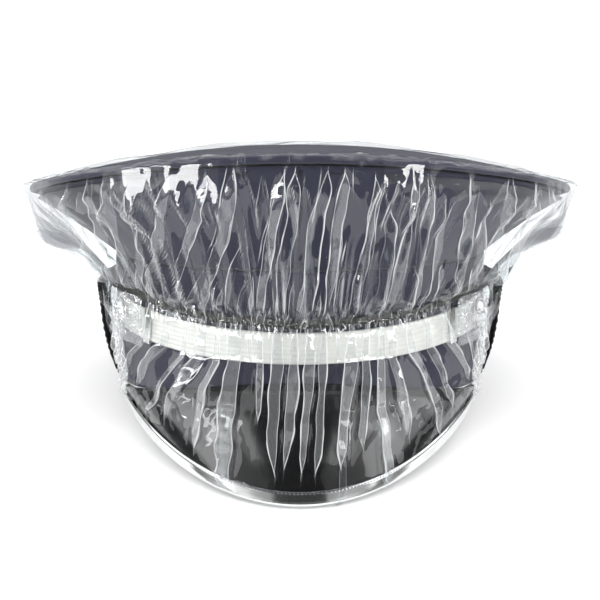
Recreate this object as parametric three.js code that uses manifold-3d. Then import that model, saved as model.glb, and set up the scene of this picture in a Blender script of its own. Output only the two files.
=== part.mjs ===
// A peaked uniform cap wearing a clear rain cover. Millimetres, +Z up, the front faces -Y, +X is
// to the right of someone who looks at the front. The pieces are laid out on the plane of the
// band's lower edge, and the whole cap then leans back until it rests on the peak and on the rear
// of the band. Angles run round the cap from the front, positive towards +X.
import * as THREE from 'three';
import { mergeVertices } from 'three/addons/utils/BufferGeometryUtils.js';
import Module from 'manifold-3d';

const wasm = await Module();
wasm.setup();

// Fits and facets
const clearance = 0.3;
const stepsAround = 48;
const stepAngle = (2 * Math.PI) / stepsAround;
const buttonFacets = 16;
const domeSteps = 4;
const wireSides = 6;
const pipingSides = 8;
const quarterRows = 3;
const peakRows = 4;
const weld = 1e-4;

// Band and what lines it
const bandHalfWidth = 88;
const bandHalfLength = 104;
const bandHeight = 58;
const bandFrontRise = 10.2;
const clothThickness = 1.2;
const stiffenerThickness = 1;
const stiffenerShortfall = 2;
const sweatbandHeight = 30;
const sweatbandThickness = 1.2;
const sweatbandFootHeight = 5;
const sweatbandInset = 0.5;

// Crown: the rim is an ellipse in plan, high in front and low at the sides
const rimHalfWidth = 127;
const rimHalfLength = 130;
const rimSetback = 4;
const crownFrontHeight = 108;
const crownSideHeight = 85.5;
const crownRearHeight = 80;
const crownCentreHeight = 105;
const pipingRadius = 1.8;
const panelLift = 1.2;
const wireRadius = 1;
const wireInset = 5;
const wireTopAim = 0.8;
const wireQuarterAim = 0.3;
const stayThickness = 1;
const stayHalfAngle = 4 * stepAngle;
const stayFoot = 0.02;
const stayReach = 0.8;
const liningThickness = 0.6;
const liningOverlap = 14;
const liningSag = 4;

// Peak
const peakHalfAngle = 9 * stepAngle;
const peakCornerInset = 1.8;
const peakCornerBack = 3.8;
const peakReach = 35;
const peakCornerDrop = 6;
const peakTipDrop = 36;
const peakRimPower = 1.6;
const peakBulge = 5;
const peakAttachDepth = 1;
const shellThickness = 1.2;
const underlayThickness = 0.8;
const bindingThickness = 0.6;
const bindingTopLeg = 5;
const bindingBottomLeg = 5;
const bindingCornerShare = 0.5;
const bindingTaper = 2;
const bindingPlay = 0.45;

// Front strap with its keepers, buttons and clips
const strapHalfAngle = 9 * stepAngle;
const strapHeight = 14;
const strapThickness = 1;
const strapFrontHeight = 25;
const strapSideHeight = 33.5;
const keeperAngle = 6.5 * stepAngle;
const keeperLength = 5;
const keeperThickness = 0.6;
const keeperPlay = 0.4;
const buttonAngle = 8.5 * stepAngle;
const buttonRadius = 7;
const buttonHeight = 4.5;
const buttonEdge = 1;
const shankRadius = 1.6;
const clipRadius = 4;
const clipThickness = 1;

// Rain cover
const filmThickness = 0.5;
const filmSlack = 5;
const elasticHeight = 1.4;
const elasticThickness = 1;
const frillDrop = 5;
const frillHalfAngle = 6 * stepAngle;
const gatherHalfAngle = 9 * stepAngle;
const tapeStartAngle = 10 * stepAngle;
const tapeWidth = 8;
const tapeThickness = 0.8;
const tapeLean = 1;
const hemTuck = 9;
const hemCord = 1.2;
const hemCordHalfAngle = 7 * stepAngle;

// Lines of the cover round half the cap: angle in degrees, height, stand-off from the band
const gatherLine = [
  [0, 36, 3],
  [30, 39, 3],
  [60, 46, 3.2],
  [75, 46, 4],
];
const tapeLine = [
  [75, 11, 3.5],
  [90, 30, 7.5],
  [97.5, 37, 11],
  [105, 39, 15],
  [120, 43, 20],
  [150, 52, 18],
  [180, 57, 15],
];
const waistLine = [
  [75, 48, 6],
  [90, 49, 10],
  [105, 50, 19],
];

// Layers of the band, as distances out from the face of its cloth
const stiffenerOuter = -clothThickness - clearance;
const stiffenerInner = stiffenerOuter - stiffenerThickness;
const clipInner = stiffenerInner - clearance - clipThickness;
const sweatbandOuter = clipInner - clearance;
const sweatbandInner = sweatbandOuter - sweatbandThickness;
const strapInner = clearance + keeperThickness + keeperPlay;
const strapOuter = strapInner + strapThickness;
const keeperOuter = strapOuter + keeperPlay + keeperThickness;
const buttonBase = strapOuter + clearance;
const buttonTop = buttonBase + buttonHeight;
const filmOverStrap = keeperOuter + clearance;
const filmOverButton = buttonTop + clearance;
const frillInner = filmOverStrap + filmThickness + clearance;

// Layers of the peak, as distances from its middle surface along the normal
const shellTop = clearance / 2 + shellThickness;
const underlayBottom = -clearance / 2 - underlayThickness;
const bindingOuter = bindingPlay + bindingThickness;
const filmOverPeak = bindingOuter + clearance;

const up = new THREE.Vector3(0, 0, 1);

// Steep and flat ends of the search for the lean, and small steps that find a surface's direction
const steepestLean = Math.PI / 6;
const leanRounds = 50;
const nearAngle = stepAngle / 8;
const nearShare = 0.05;

// Facets along a sweep, on the same angles all round the cap
const stepsOver = (sweep) => Math.round(sweep / stepAngle);
const peakSteps = stepsOver(2 * peakHalfAngle);

// Stations from the crown's centre to its rim, as shares of the way
const topShares = [0, 0.35, 0.65, 0.88, 1];

// Stations of the film: degrees round the piping, shares from there to the hem, shares of the peak
const wrapDegrees = [80, 45, 10, -25, -60];
const skirtShares = [0.35, 0.7];
const peakFilmShares = [0.5, 1 - 1 / peakRows];

// Vector helpers
const at = (x, y, z) => new THREE.Vector3(x, y, z);
const mix = (a, b, t) => a.clone().lerp(b, t);
const moved = (point, direction, distance) => point.clone().addScaledVector(direction, distance);
const between = (a, b) => b.clone().sub(a).normalize();

// A smooth curve through rows of [degrees, height, stand-off], the same on both sides of the cap
function follow(rows, angle) {
  const degrees = THREE.MathUtils.radToDeg(Math.abs(angle));
  const last = rows.length - 2;
  let row = rows.findIndex((entry, index) => index <= last && degrees <= rows[index + 1][0]);
  row = row < 0 ? last : row;
  const share = THREE.MathUtils.clamp((degrees - rows[row][0]) / (rows[row + 1][0] - rows[row][0]), 0, 1);
  const [height, standOff] = [1, 2].map((column) => {
    const slope = (index) => {
      const before = rows[Math.max(index - 1, 0)];
      const after = rows[Math.min(index + 1, rows.length - 1)];
      return (after[column] - before[column]) / (after[0] - before[0]);
    };
    const width = rows[row + 1][0] - rows[row][0];
    const squared = share * share;
    const cubed = squared * share;
    return rows[row][column] * (2 * cubed - 3 * squared + 1)
      + slope(row) * width * (cubed - 2 * squared + share)
      + rows[row + 1][column] * (3 * squared - 2 * cubed)
      + slope(row + 1) * width * (cubed - squared);
  });
  return { height, standOff };
}

// Wraps an angle to the half turn on either side of the front
const wrapped = (angle) => Math.atan2(Math.sin(angle), Math.cos(angle));

// Band: a point at a height, some distance out from the face of its cloth
function bandPoint(angle, height, out) {
  return at((bandHalfWidth + out) * Math.sin(angle), -(bandHalfLength + out) * Math.cos(angle), height);
}

function bandNormal(angle) {
  return at(Math.sin(angle) / bandHalfWidth, -Math.cos(angle) / bandHalfLength, 0).normalize();
}

// The band's lower edge rises over the peak
function bandBottom(angle) {
  const share = Math.min(Math.abs(wrapped(angle)) / peakHalfAngle, 1);
  return bandFrontRise * Math.cos((share * Math.PI) / 2) ** 2;
}

// Crown rim, the centre line of the piping
function rimPoint(angle) {
  const { saddle, dome, pitch } = crownShape();
  const height = crownCentreHeight + pitch * Math.cos(angle) + saddle * Math.cos(2 * angle) - dome;
  return at(rimHalfWidth * Math.sin(angle), rimSetback - rimHalfLength * Math.cos(angle), height);
}

function rimOutward(angle) {
  return at(Math.sin(angle) / rimHalfWidth, -Math.cos(angle) / rimHalfLength, 0).normalize();
}

function crownShape() {
  const pitch = (crownFrontHeight - crownRearHeight) / 2;
  const saddle = ((crownFrontHeight + crownRearHeight) / 2 - crownSideHeight) / 2;
  const dome = crownCentreHeight - crownSideHeight - saddle;
  return { pitch, saddle, dome };
}

// Outer face of the crown's top, at a share of the way from its centre to the rim
function topPoint(angle, share) {
  const { saddle, dome, pitch } = crownShape();
  const rim = rimPoint(angle);
  const height = crownCentreHeight + pitch * share * Math.cos(angle)
    + share ** 2 * (saddle * Math.cos(2 * angle) - dome);
  return at(rim.x * share, rimSetback + (rim.y - rimSetback) * share, height + panelLift);
}

// Share of the way to the rim where the top panel ends, beside the piping
function topEdge(angle) {
  const rim = rimPoint(angle);
  return 1 - (pipingRadius + clearance) / Math.hypot(rim.x, rim.y - rimSetback);
}

// Outer face of the crown's quarters, from the band (0) to the piping (1)
function quarterPoint(angle, share) {
  const low = bandPoint(angle, bandHeight + clearance, 0);
  const rim = moved(rimPoint(angle), up, -panelLift);
  const high = moved(rim, between(rim, low), pipingRadius + clearance);
  return mix(low, high, share);
}

function quarterNormal(angle) {
  const along = between(quarterPoint(angle - stepAngle / 2, 0.5), quarterPoint(angle + stepAngle / 2, 0.5));
  const rise = between(quarterPoint(angle, 0), quarterPoint(angle, 1));
  return along.cross(rise).normalize();
}

// Middle surface of the peak, from the band (0) to the rim (1)
function peakPoint(angle, share) {
  const swing = (angle / peakHalfAngle) * (Math.PI / 2);
  const lean = Math.max(Math.cos(swing), 0);
  const attach = bandPoint(angle, bandBottom(angle) - clearance - shellTop, -peakAttachDepth);
  const corner = bandPoint(peakHalfAngle, -peakCornerDrop, 0).add(at(-peakCornerInset, peakCornerBack, 0));
  const tip = at(0, -bandHalfLength - peakReach, -peakTipDrop);
  const forward = lean ** peakRimPower;
  const rim = at(
    corner.x * Math.sin(swing),
    corner.y + (tip.y - corner.y) * forward,
    corner.z + (tip.z - corner.z) * forward,
  );
  const bulge = 4 * share * (1 - share) * lean * peakBulge;
  return moved(mix(attach, rim, share), bandNormal(angle).add(up).normalize(), bulge);
}

function peakNormal(angle, share) {
  const along = between(peakPoint(angle - nearAngle, share), peakPoint(angle + nearAngle, share));
  const out = between(peakPoint(angle, share - nearShare), peakPoint(angle, share + nearShare));
  return out.cross(along).normalize();
}

// How far an angle lies from the peak's corners: 1 at the tip, 0 at the corners
function peakLean(angle) {
  return Math.max(Math.cos((angle / peakHalfAngle) * (Math.PI / 2)), 0);
}

// Directions at the peak's rim: straight out of it, and square to its last row of facets
function rimFrame(angle) {
  const outward = between(peakPoint(angle, 1 - 1 / peakRows), peakPoint(angle, 1));
  const along = between(peakPoint(angle - nearAngle, 1), peakPoint(angle + nearAngle, 1));
  return { outward, normal: outward.clone().cross(along).normalize() };
}

// A point near the peak's rim: distance out past the rim, distance along the normal
function peakRim(angle, out, lift) {
  const { outward, normal } = rimFrame(angle);
  return moved(moved(peakPoint(angle, 1), outward, out), normal, lift);
}

// How much of its width the binding keeps: all of it, but for the last steps before the corners
function bindingShare(angle) {
  return Math.min(1, bindingCornerShare + bindingTaper * peakLean(angle));
}

// The outline of what wraps the peak's rim, some distance from its layers: [out, lift] points
function rimWrap(distance, topLeg, bottomLeg) {
  return [
    [-topLeg, shellTop + distance],
    [0, shellTop + distance],
    [distance, shellTop],
    [distance, underlayBottom],
    [0, underlayBottom - distance],
    [-bottomLeg, underlayBottom - distance],
  ];
}

// Middle of the strap's height: it lies in a plane that rises towards the sides
function strapCentre(angle) {
  const rise = (strapSideHeight - strapFrontHeight) / (1 - Math.cos(buttonAngle));
  return strapFrontHeight + rise * (1 - Math.cos(angle));
}

// Gives a geometry shared corners, no empty triangles, and faces that point out
function tidied(geometry) {
  geometry.deleteAttribute('normal');
  geometry.deleteAttribute('uv');
  const merged = mergeVertices(geometry, weld);
  const corners = merged.attributes.position;
  const faces = [];
  let volume = 0;
  for (let i = 0; i < merged.index.count; i += 3) {
    const face = [0, 1, 2].map((k) => merged.index.getX(i + k));
    if (new Set(face).size === 3) {
      const [a, b, c] = face.map((k) => new THREE.Vector3().fromBufferAttribute(corners, k));
      volume += a.dot(b.cross(c));
      faces.push(face);
    }
  }
  merged.setIndex(faces.flatMap(([a, b, c]) => (volume < 0 ? [a, c, b] : [a, b, c])));
  return merged;
}

// A slab whose unit box is carried to (along, across, through), each from 0 to 1. Both its faces
// have the same diagonals, so that layers of slabs stay apart. A closed slab goes right round.
function slab(alongSteps, acrossSteps, place, closed = false) {
  const geometry = new THREE.BoxGeometry(1, 1, 1, alongSteps, acrossSteps, 1);
  const corners = geometry.attributes.position;
  for (let i = 0; i < corners.count; i += 1) {
    const step = Math.round((corners.getX(i) + 0.5) * alongSteps);
    const along = (closed ? step % alongSteps : step) / alongSteps;
    const across = Math.round((corners.getY(i) + 0.5) * acrossSteps) / acrossSteps;
    const point = place(along, across, Math.round(corners.getZ(i) + 0.5));
    corners.setXYZ(i, point.x, point.y, point.z);
  }
  const index = Array.from(geometry.index.array);
  const [rightEnd, leftEnd, , , , back] = geometry.groups;
  for (let i = back.start; i < back.start + back.count; i += 6) {
    const [a, b, d, , c] = index.slice(i, i + 6);
    index.splice(i, 6, a, b, c, a, c, d);
  }
  geometry.setIndex(closed ? index.slice(rightEnd.count + leftEnd.count) : index);
  return tidied(geometry);
}

// A ring with a closed section of the same number of points all round
function ring(pointCount, place) {
  const outline = Array.from({ length: pointCount + 1 }, (_, index) => new THREE.Vector2(1, index));
  const geometry = new THREE.LatheGeometry(outline, stepsAround);
  const corners = geometry.attributes.position;
  for (let i = 0; i < corners.count; i += 1) {
    const step = Math.floor(i / outline.length) % stepsAround;
    const point = place(step * stepAngle, (i % outline.length) % pointCount);
    corners.setXYZ(i, point.x, point.y, point.z);
  }
  return tidied(geometry);
}

// A ring of round section about a centre line that runs round the crown
function wireRing(radius, sides, centre) {
  return ring(sides, (angle, index) => {
    const turn = (index / sides) * 2 * Math.PI;
    const point = moved(centre(angle), rimOutward(angle), radius * Math.cos(turn));
    return moved(point, up, radius * Math.sin(turn));
  });
}

// A thin shell right round the cap: sectionAt gives a list of {point, normal} for each angle
function shellOf(sectionAt, thickness) {
  const rows = sectionAt(0).length - 1;
  return slab(stepsAround, rows, (along, across, through) => {
    const { point, normal } = sectionAt(along * 2 * Math.PI)[Math.round(across * rows)];
    return moved(point, normal, through * thickness);
  }, true);
}

// Joins and cuts of closed solids
function toSolid(geometry) {
  return new wasm.Manifold(new wasm.Mesh({
    numProp: 3,
    vertProperties: new Float32Array(geometry.attributes.position.array),
    triVerts: new Uint32Array(geometry.index.array),
  }));
}

function cut(geometry, tools) {
  let solid = toSolid(geometry);
  for (const tool of tools) {
    solid = solid.subtract(toSolid(tool));
  }
  const mesh = solid.getMesh();
  const result = new THREE.BufferGeometry();
  result.setAttribute('position', new THREE.BufferAttribute(new Float32Array(mesh.vertProperties), 3));
  result.setIndex(Array.from(mesh.triVerts));
  return result;
}

// Materials
function finish(color, roughness, metalness = 0) {
  return new THREE.MeshStandardMaterial({ color, roughness, metalness });
}

const navyCloth = finish(0x23263a, 0.9);
const bandCloth = finish(0x17181a, 0.85);
const board = finish(0xb9b2a0, 0.9);
const leather = finish(0x4a3426, 0.6);
const liningCloth = finish(0x2c2f38, 0.6);
const patent = finish(0x0b0b0c, 0.12);
const underlayCloth = finish(0x27302a, 0.8);
const silver = finish(0xd6d6d2, 0.18, 1);
const braid = finish(0xd9d9d2, 0.45, 0.4);
const steel = finish(0x9aa0a4, 0.35, 1);
const clearFilm = finish(0xe8eef2, 0.08);
clearFilm.transparent = true;
clearFilm.opacity = 0.3;
const whiteElastic = finish(0xdadcda, 0.8);
const blackElastic = finish(0x1b1c1a, 0.85);

const cap = new THREE.Group();

function add(name, geometry, material, parent = cap) {
  const mesh = new THREE.Mesh(geometry, material);
  mesh.name = name;
  parent.add(mesh);
  return mesh;
}

// A group at a button, its Y axis pointing straight out of the band
function buttonPlace(side) {
  const place = new THREE.Group();
  const before = bandPoint(side * (buttonAngle - stepAngle / 2), strapCentre(buttonAngle), 0);
  const after = bandPoint(side * (buttonAngle + stepAngle / 2), strapCentre(buttonAngle), 0);
  place.position.copy(mix(before, after, 0.5));
  place.quaternion.setFromUnitVectors(at(0, 1, 0), bandNormal(side * buttonAngle));
  place.updateMatrix();
  return place;
}

// The holes that the buttons' shanks pass through
function shankHoles() {
  const reach = strapOuter - clipInner + buttonHeight;
  return [-1, 1].map((side) => {
    const radius = shankRadius + clearance;
    const hole = new THREE.CylinderGeometry(radius, radius, 2 * reach, buttonFacets);
    return tidied(hole.applyMatrix4(buttonPlace(side).matrix));
  });
}

// Crown
function crownTop() {
  return shellOf((angle) => topShares.map((share) => ({
    point: moved(topPoint(angle, share * topEdge(angle)), up, -clothThickness),
    normal: up,
  })), clothThickness);
}

function crownQuarter(quarter) {
  const gap = clearance / (2 * bandHalfWidth);
  const start = quarter * (Math.PI / 2) + gap;
  const sweep = Math.PI / 2 - 2 * gap;
  return slab(stepsAround / 4, quarterRows, (along, across, through) => {
    const angle = start + along * sweep;
    return moved(quarterPoint(angle, across), quarterNormal(angle), -through * clothThickness);
  });
}

function crownWire() {
  return wireRing(wireRadius, wireSides, (angle) => {
    const rim = rimPoint(angle);
    const underTop = between(rim, topPoint(angle, wireTopAim));
    const behindQuarter = between(rim, quarterPoint(angle, wireQuarterAim));
    return moved(rim, underTop.add(behindQuarter).normalize(), wireInset);
  });
}

function frontStay() {
  const depth = clothThickness + clearance;
  return slab(stepsOver(2 * stayHalfAngle), quarterRows, (along, across, through) => {
    const angle = (2 * along - 1) * stayHalfAngle;
    const share = stayFoot + across * stayReach;
    return moved(quarterPoint(angle, share), quarterNormal(angle), -depth - through * stayThickness);
  });
}

function crownLining() {
  const wall = stiffenerInner - clearance - liningThickness;
  const drop = clothThickness + clearance + liningThickness;
  return shellOf((angle) => {
    const [centre, middle, outside] = topShares.map((share) => topPoint(angle, share * topEdge(angle)));
    return [
      { point: moved(centre, up, -drop), normal: up },
      { point: moved(middle, up, -drop), normal: up },
      { point: moved(outside, up, -drop - liningSag), normal: up },
      { point: bandPoint(angle, bandHeight + clothThickness, wall), normal: bandNormal(angle) },
      { point: bandPoint(angle, bandHeight - liningOverlap, wall), normal: bandNormal(angle) },
    ];
  }, liningThickness);
}

// Band
function bandRing(outer, inner, bottomInset, top) {
  return ring(4, (angle, index) => {
    const height = index < 2 ? bandBottom(angle) + bottomInset : top;
    return bandPoint(angle, height, index === 0 || index === 3 ? outer : inner);
  });
}

function sweatband() {
  const outline = [
    [stiffenerInner - clearance, sweatbandInset],
    [stiffenerInner - clearance, sweatbandFootHeight],
    [sweatbandOuter, sweatbandFootHeight],
    [sweatbandOuter, sweatbandHeight],
    [sweatbandInner, sweatbandHeight],
    [sweatbandInner, sweatbandInset],
  ];
  return ring(outline.length, (angle, index) => {
    const [out, height] = outline[index];
    const share = 1 - (height - sweatbandInset) / (sweatbandHeight - sweatbandInset);
    return bandPoint(angle, height + share * bandBottom(angle), out);
  });
}

// Peak
function peakLayer(top, bottom) {
  return slab(peakSteps, peakRows, (along, across, through) => {
    const angle = (2 * along - 1) * peakHalfAngle;
    const lift = top + through * (bottom - top);
    if (across === 1) {
      return peakRim(angle, 0, lift);
    }
    return moved(peakPoint(angle, across), peakNormal(angle, across), lift);
  });
}

function peakBinding() {
  const rows = rimWrap(bindingPlay, bindingTopLeg, bindingBottomLeg).length - 1;
  return slab(peakSteps, rows, (along, across, through) => {
    const angle = (2 * along - 1) * peakHalfAngle;
    const [topLeg, bottomLeg] = [bindingTopLeg, bindingBottomLeg].map((leg) => leg * bindingShare(angle));
    const outline = rimWrap(through ? bindingOuter : bindingPlay, topLeg, bottomLeg);
    return peakRim(angle, ...outline[Math.round(across * rows)]);
  });
}

// Strap and its fittings
function frontStrap() {
  const body = slab(stepsOver(2 * strapHalfAngle), 1, (along, across, through) => {
    const angle = (2 * along - 1) * strapHalfAngle;
    const height = strapCentre(angle) + (across - 0.5) * strapHeight;
    return bandPoint(angle, height, strapInner + through * strapThickness);
  });
  return cut(body, shankHoles());
}

function rectangle(shape, halfWidth, halfHeight) {
  shape.moveTo(-halfWidth, -halfHeight);
  shape.lineTo(halfWidth, -halfHeight);
  shape.lineTo(halfWidth, halfHeight);
  shape.lineTo(-halfWidth, halfHeight);
  shape.closePath();
  return shape;
}

function strapKeeper(side) {
  const halfGap = strapThickness / 2 + keeperPlay;
  const halfReach = strapHeight / 2 + keeperPlay;
  const outline = rectangle(new THREE.Shape(), halfGap + keeperThickness, halfReach + keeperThickness);
  outline.holes.push(rectangle(new THREE.Path(), halfGap, halfReach));
  const sleeve = new THREE.ExtrudeGeometry(outline, { depth: keeperLength, bevelEnabled: false });
  sleeve.translate(0, 0, -keeperLength / 2);
  const middle = strapInner + strapThickness / 2;
  const [start, end] = [-0.5, 0.5].map((step) => {
    const angle = side * (keeperAngle + step * stepAngle);
    return bandPoint(angle, strapCentre(angle), middle);
  });
  const along = between(start, end);
  const outward = at(along.y, -along.x, 0).normalize().multiplyScalar(side);
  const frame = new THREE.Matrix4().makeBasis(outward, along.clone().cross(outward), along);
  sleeve.applyMatrix4(frame.setPosition(mix(start, end, 0.5)));
  return tidied(sleeve);
}

function sideButton() {
  const outline = [
    [0, clipInner],
    [shankRadius, clipInner],
    [shankRadius, buttonBase],
    [buttonRadius - buttonEdge, buttonBase],
    [buttonRadius, buttonBase + buttonEdge],
  ];
  for (let i = 1; i <= domeSteps; i += 1) {
    const turn = (i / domeSteps) * (Math.PI / 2);
    const rise = (buttonHeight - buttonEdge) * Math.sin(turn);
    outline.push([i < domeSteps ? buttonRadius * Math.cos(turn) : 0, buttonBase + buttonEdge + rise]);
  }
  return tidied(new THREE.LatheGeometry(outline.map((point) => new THREE.Vector2(...point)), buttonFacets));
}

function buttonClip() {
  const outline = [
    [shankRadius + clearance, clipInner],
    [clipRadius, clipInner],
    [clipRadius, clipInner + clipThickness],
    [shankRadius + clearance, clipInner + clipThickness],
    [shankRadius + clearance, clipInner],
  ];
  return tidied(new THREE.LatheGeometry(outline.map((point) => new THREE.Vector2(...point)), buttonFacets));
}

// Rain cover: where the crown film ends, on the gather in front and on the tape behind
function crownHem(angle) {
  const turn = Math.abs(wrapped(angle));
  if (turn < gatherHalfAngle + stepAngle / 2) {
    return follow(gatherLine, turn);
  }
  const tape = follow(tapeLine, turn);
  return { height: tape.height + clearance, standOff: tape.standOff };
}

// Beside the peak's corners the film is drawn in to the band's side before it goes down to the tape
function crownWaist(angle) {
  const turn = Math.abs(wrapped(angle));
  const [first, last] = [waistLine[0], waistLine[waistLine.length - 1]].map(([degrees]) => degrees);
  const degrees = THREE.MathUtils.radToDeg(turn);
  if (degrees < first - nearShare || degrees > last + nearShare) {
    return null;
  }
  const { height, standOff } = follow(waistLine, turn);
  return bandPoint(angle, height, standOff);
}

// The film hugs the rim in front and behind, and stands out from it like a loose bag at the sides
function crownCover() {
  return shellOf((angle) => {
    const level = rimOutward(angle);
    const entries = topShares.map((share) => (
      { point: moved(topPoint(angle, share * topEdge(angle)), up, clearance), normal: up }
    ));
    const rim = rimPoint(angle);
    for (const degrees of wrapDegrees) {
      const turn = THREE.MathUtils.degToRad(degrees);
      const normal = level.clone().multiplyScalar(Math.cos(turn)).addScaledVector(up, Math.sin(turn));
      const slack = filmSlack * Math.sin(angle) ** 2 * Math.max(Math.cos(turn), 0);
      entries.push({ point: moved(moved(rim, normal, pipingRadius + clearance), level, slack), normal });
    }
    const start = entries[entries.length - 1].point;
    const hem = crownHem(angle);
    const end = bandPoint(angle, hem.height, hem.standOff);
    const normal = at(-level.y, level.x, 0).cross(between(end, start)).normalize();
    const waist = crownWaist(angle);
    for (const share of skirtShares) {
      const straight = mix(start, end, share);
      const drawnIn = mix(start, waist ?? end, share / skirtShares[1]);
      entries.push({ point: waist ? drawnIn : straight, normal });
    }
    entries.push({ point: end, normal: bandNormal(angle) });
    return entries;
  }, filmThickness);
}

// Peak film over the strap and the peak, at one angle: points with the way out at each
function peakFilmSection(angle) {
  const turn = Math.abs(angle);
  const gather = follow(gatherLine, turn);
  const top = gather.height - elasticHeight - 2 * clearance;
  const level = bandNormal(angle);
  const out = turn > buttonAngle - stepAngle ? filmOverButton : filmOverStrap;
  const edge = Math.max(gather.standOff, filmOverStrap);
  const entries = [
    { point: bandPoint(angle, top, edge), normal: level },
    { point: bandPoint(angle, strapCentre(angle) + strapHeight / 2, out), normal: level },
    { point: bandPoint(angle, strapCentre(angle) - strapHeight / 2, out), normal: level },
  ];
  for (const share of peakFilmShares) {
    const normal = peakNormal(angle, share);
    entries.push({ point: moved(peakPoint(angle, share), normal, shellTop + filmOverPeak), normal });
  }
  const tuck = hemTuck * peakLean(angle) + clearance;
  const topLeg = bindingTopLeg * bindingShare(angle);
  const inside = rimWrap(filmOverPeak, topLeg, tuck);
  const outside = rimWrap(filmOverPeak + filmThickness, topLeg, tuck);
  inside.forEach((wrap, index) => {
    const point = peakRim(angle, ...wrap);
    const across = peakRim(angle, ...outside[index]).sub(point);
    entries.push({ point, normal: across.divideScalar(filmThickness) });
  });
  return entries;
}

function peakCover() {
  const rows = peakFilmSection(0).length - 1;
  return slab(peakSteps, rows, (along, across, through) => {
    const section = peakFilmSection((2 * along - 1) * peakHalfAngle);
    const { point, normal } = section[Math.round(across * rows)];
    return moved(point, normal, through * filmThickness);
  });
}

function gatherElastic() {
  return slab(stepsOver(2 * gatherHalfAngle), 1, (along, across, through) => {
    const angle = (2 * along - 1) * gatherHalfAngle;
    const { height, standOff } = follow(gatherLine, angle);
    const drop = clearance + across * elasticHeight;
    return bandPoint(angle, height - drop, standOff + through * elasticThickness);
  });
}

function gatherFrill() {
  return slab(stepsOver(2 * frillHalfAngle), 1, (along, across, through) => {
    const angle = (2 * along - 1) * frillHalfAngle;
    const { height, standOff } = follow(gatherLine, angle);
    const out = Math.max(frillInner, standOff + elasticThickness + clearance);
    return bandPoint(angle, height - 2 * clearance - across * frillDrop, out + through * filmThickness);
  });
}

function hemTape() {
  const sweep = 2 * (Math.PI - tapeStartAngle);
  return slab(stepsOver(sweep), 1, (along, across, through) => {
    const angle = tapeStartAngle + along * sweep;
    const { height, standOff } = follow(tapeLine, wrapped(angle));
    const out = standOff - across * tapeLean + through * tapeThickness;
    return bandPoint(angle, height - across * tapeWidth, out);
  });
}

function peakHemElastic() {
  return slab(stepsOver(2 * hemCordHalfAngle), 1, (along, across, through) => {
    const angle = (2 * along - 1) * hemCordHalfAngle;
    const back = hemTuck * peakLean(angle) + 2 * clearance + across * hemCord;
    return peakRim(angle, -back, underlayBottom - filmOverPeak - through * hemCord);
  });
}

add('crown_top', crownTop(), navyCloth);
['front_right', 'rear_right', 'rear_left', 'front_left'].forEach((place, quarter) => {
  add(`crown_quarter_${place}`, crownQuarter(quarter), navyCloth);
});
add('crown_piping', wireRing(pipingRadius, pipingSides, rimPoint), navyCloth);
add('crown_wire', crownWire(), steel);
add('front_stay', frontStay(), board);
add('crown_lining', crownLining(), liningCloth);

const cloth = add('cap_band', cut(bandRing(0, -clothThickness, 0, bandHeight), shankHoles()), bandCloth);
const stiffenerTop = bandHeight - stiffenerShortfall;
const stiffenerRing = bandRing(stiffenerOuter, stiffenerInner, sweatbandInset, stiffenerTop);
add('band_stiffener', cut(stiffenerRing, shankHoles()), board);
add('sweatband', sweatband(), leather);

add('peak_shell', peakLayer(shellTop, clearance / 2), patent);
add('peak_underlay', peakLayer(-clearance / 2, underlayBottom), underlayCloth);
add('peak_binding', peakBinding(), silver);

add('front_strap', frontStrap(), braid);
for (const [name, side] of [['left', -1], ['right', 1]]) {
  add(`strap_keeper_${name}`, strapKeeper(side), silver);
  const place = buttonPlace(side);
  cap.add(place);
  add(`side_button_${name}`, sideButton(), silver, place);
  add(`button_clip_${name}`, buttonClip(), steel, place);
}

add('crown_cover', crownCover(), clearFilm);
const film = add('peak_cover', peakCover(), clearFilm);
add('gather_elastic', gatherElastic(), blackElastic);
add('gather_frill', gatherFrill(), clearFilm);
add('hem_tape', hemTape(), blackElastic);
add('peak_hem_elastic', peakHemElastic(), whiteElastic);

// Lowest point of a mesh once the cap leans back by an angle
function lowest(mesh, lean) {
  const corners = mesh.geometry.attributes.position;
  let low = Infinity;
  for (let i = 0; i < corners.count; i += 1) {
    low = Math.min(low, corners.getZ(i) * Math.cos(lean) - corners.getY(i) * Math.sin(lean));
  }
  return low;
}

// The cap leans back until the film under the peak and the rear of the band share one plane
function restingLean() {
  let [low, high] = [0, steepestLean];
  for (let round = 0; round < leanRounds; round += 1) {
    const lean = (low + high) / 2;
    if (lowest(film, lean) < lowest(cloth, lean)) {
      low = lean;
    } else {
      high = lean;
    }
  }
  return low;
}

const rainCap = new THREE.Group();
rainCap.add(cap);
cap.rotation.x = -restingLean();
const box = new THREE.Box3().setFromObject(rainCap, true);
cap.position.set(0, -(box.min.y + box.max.y) / 2, -box.min.z);

export default rainCap;
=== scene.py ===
"""A peaked uniform cap in a clear rain cover: the looks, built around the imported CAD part."""

import math

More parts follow.
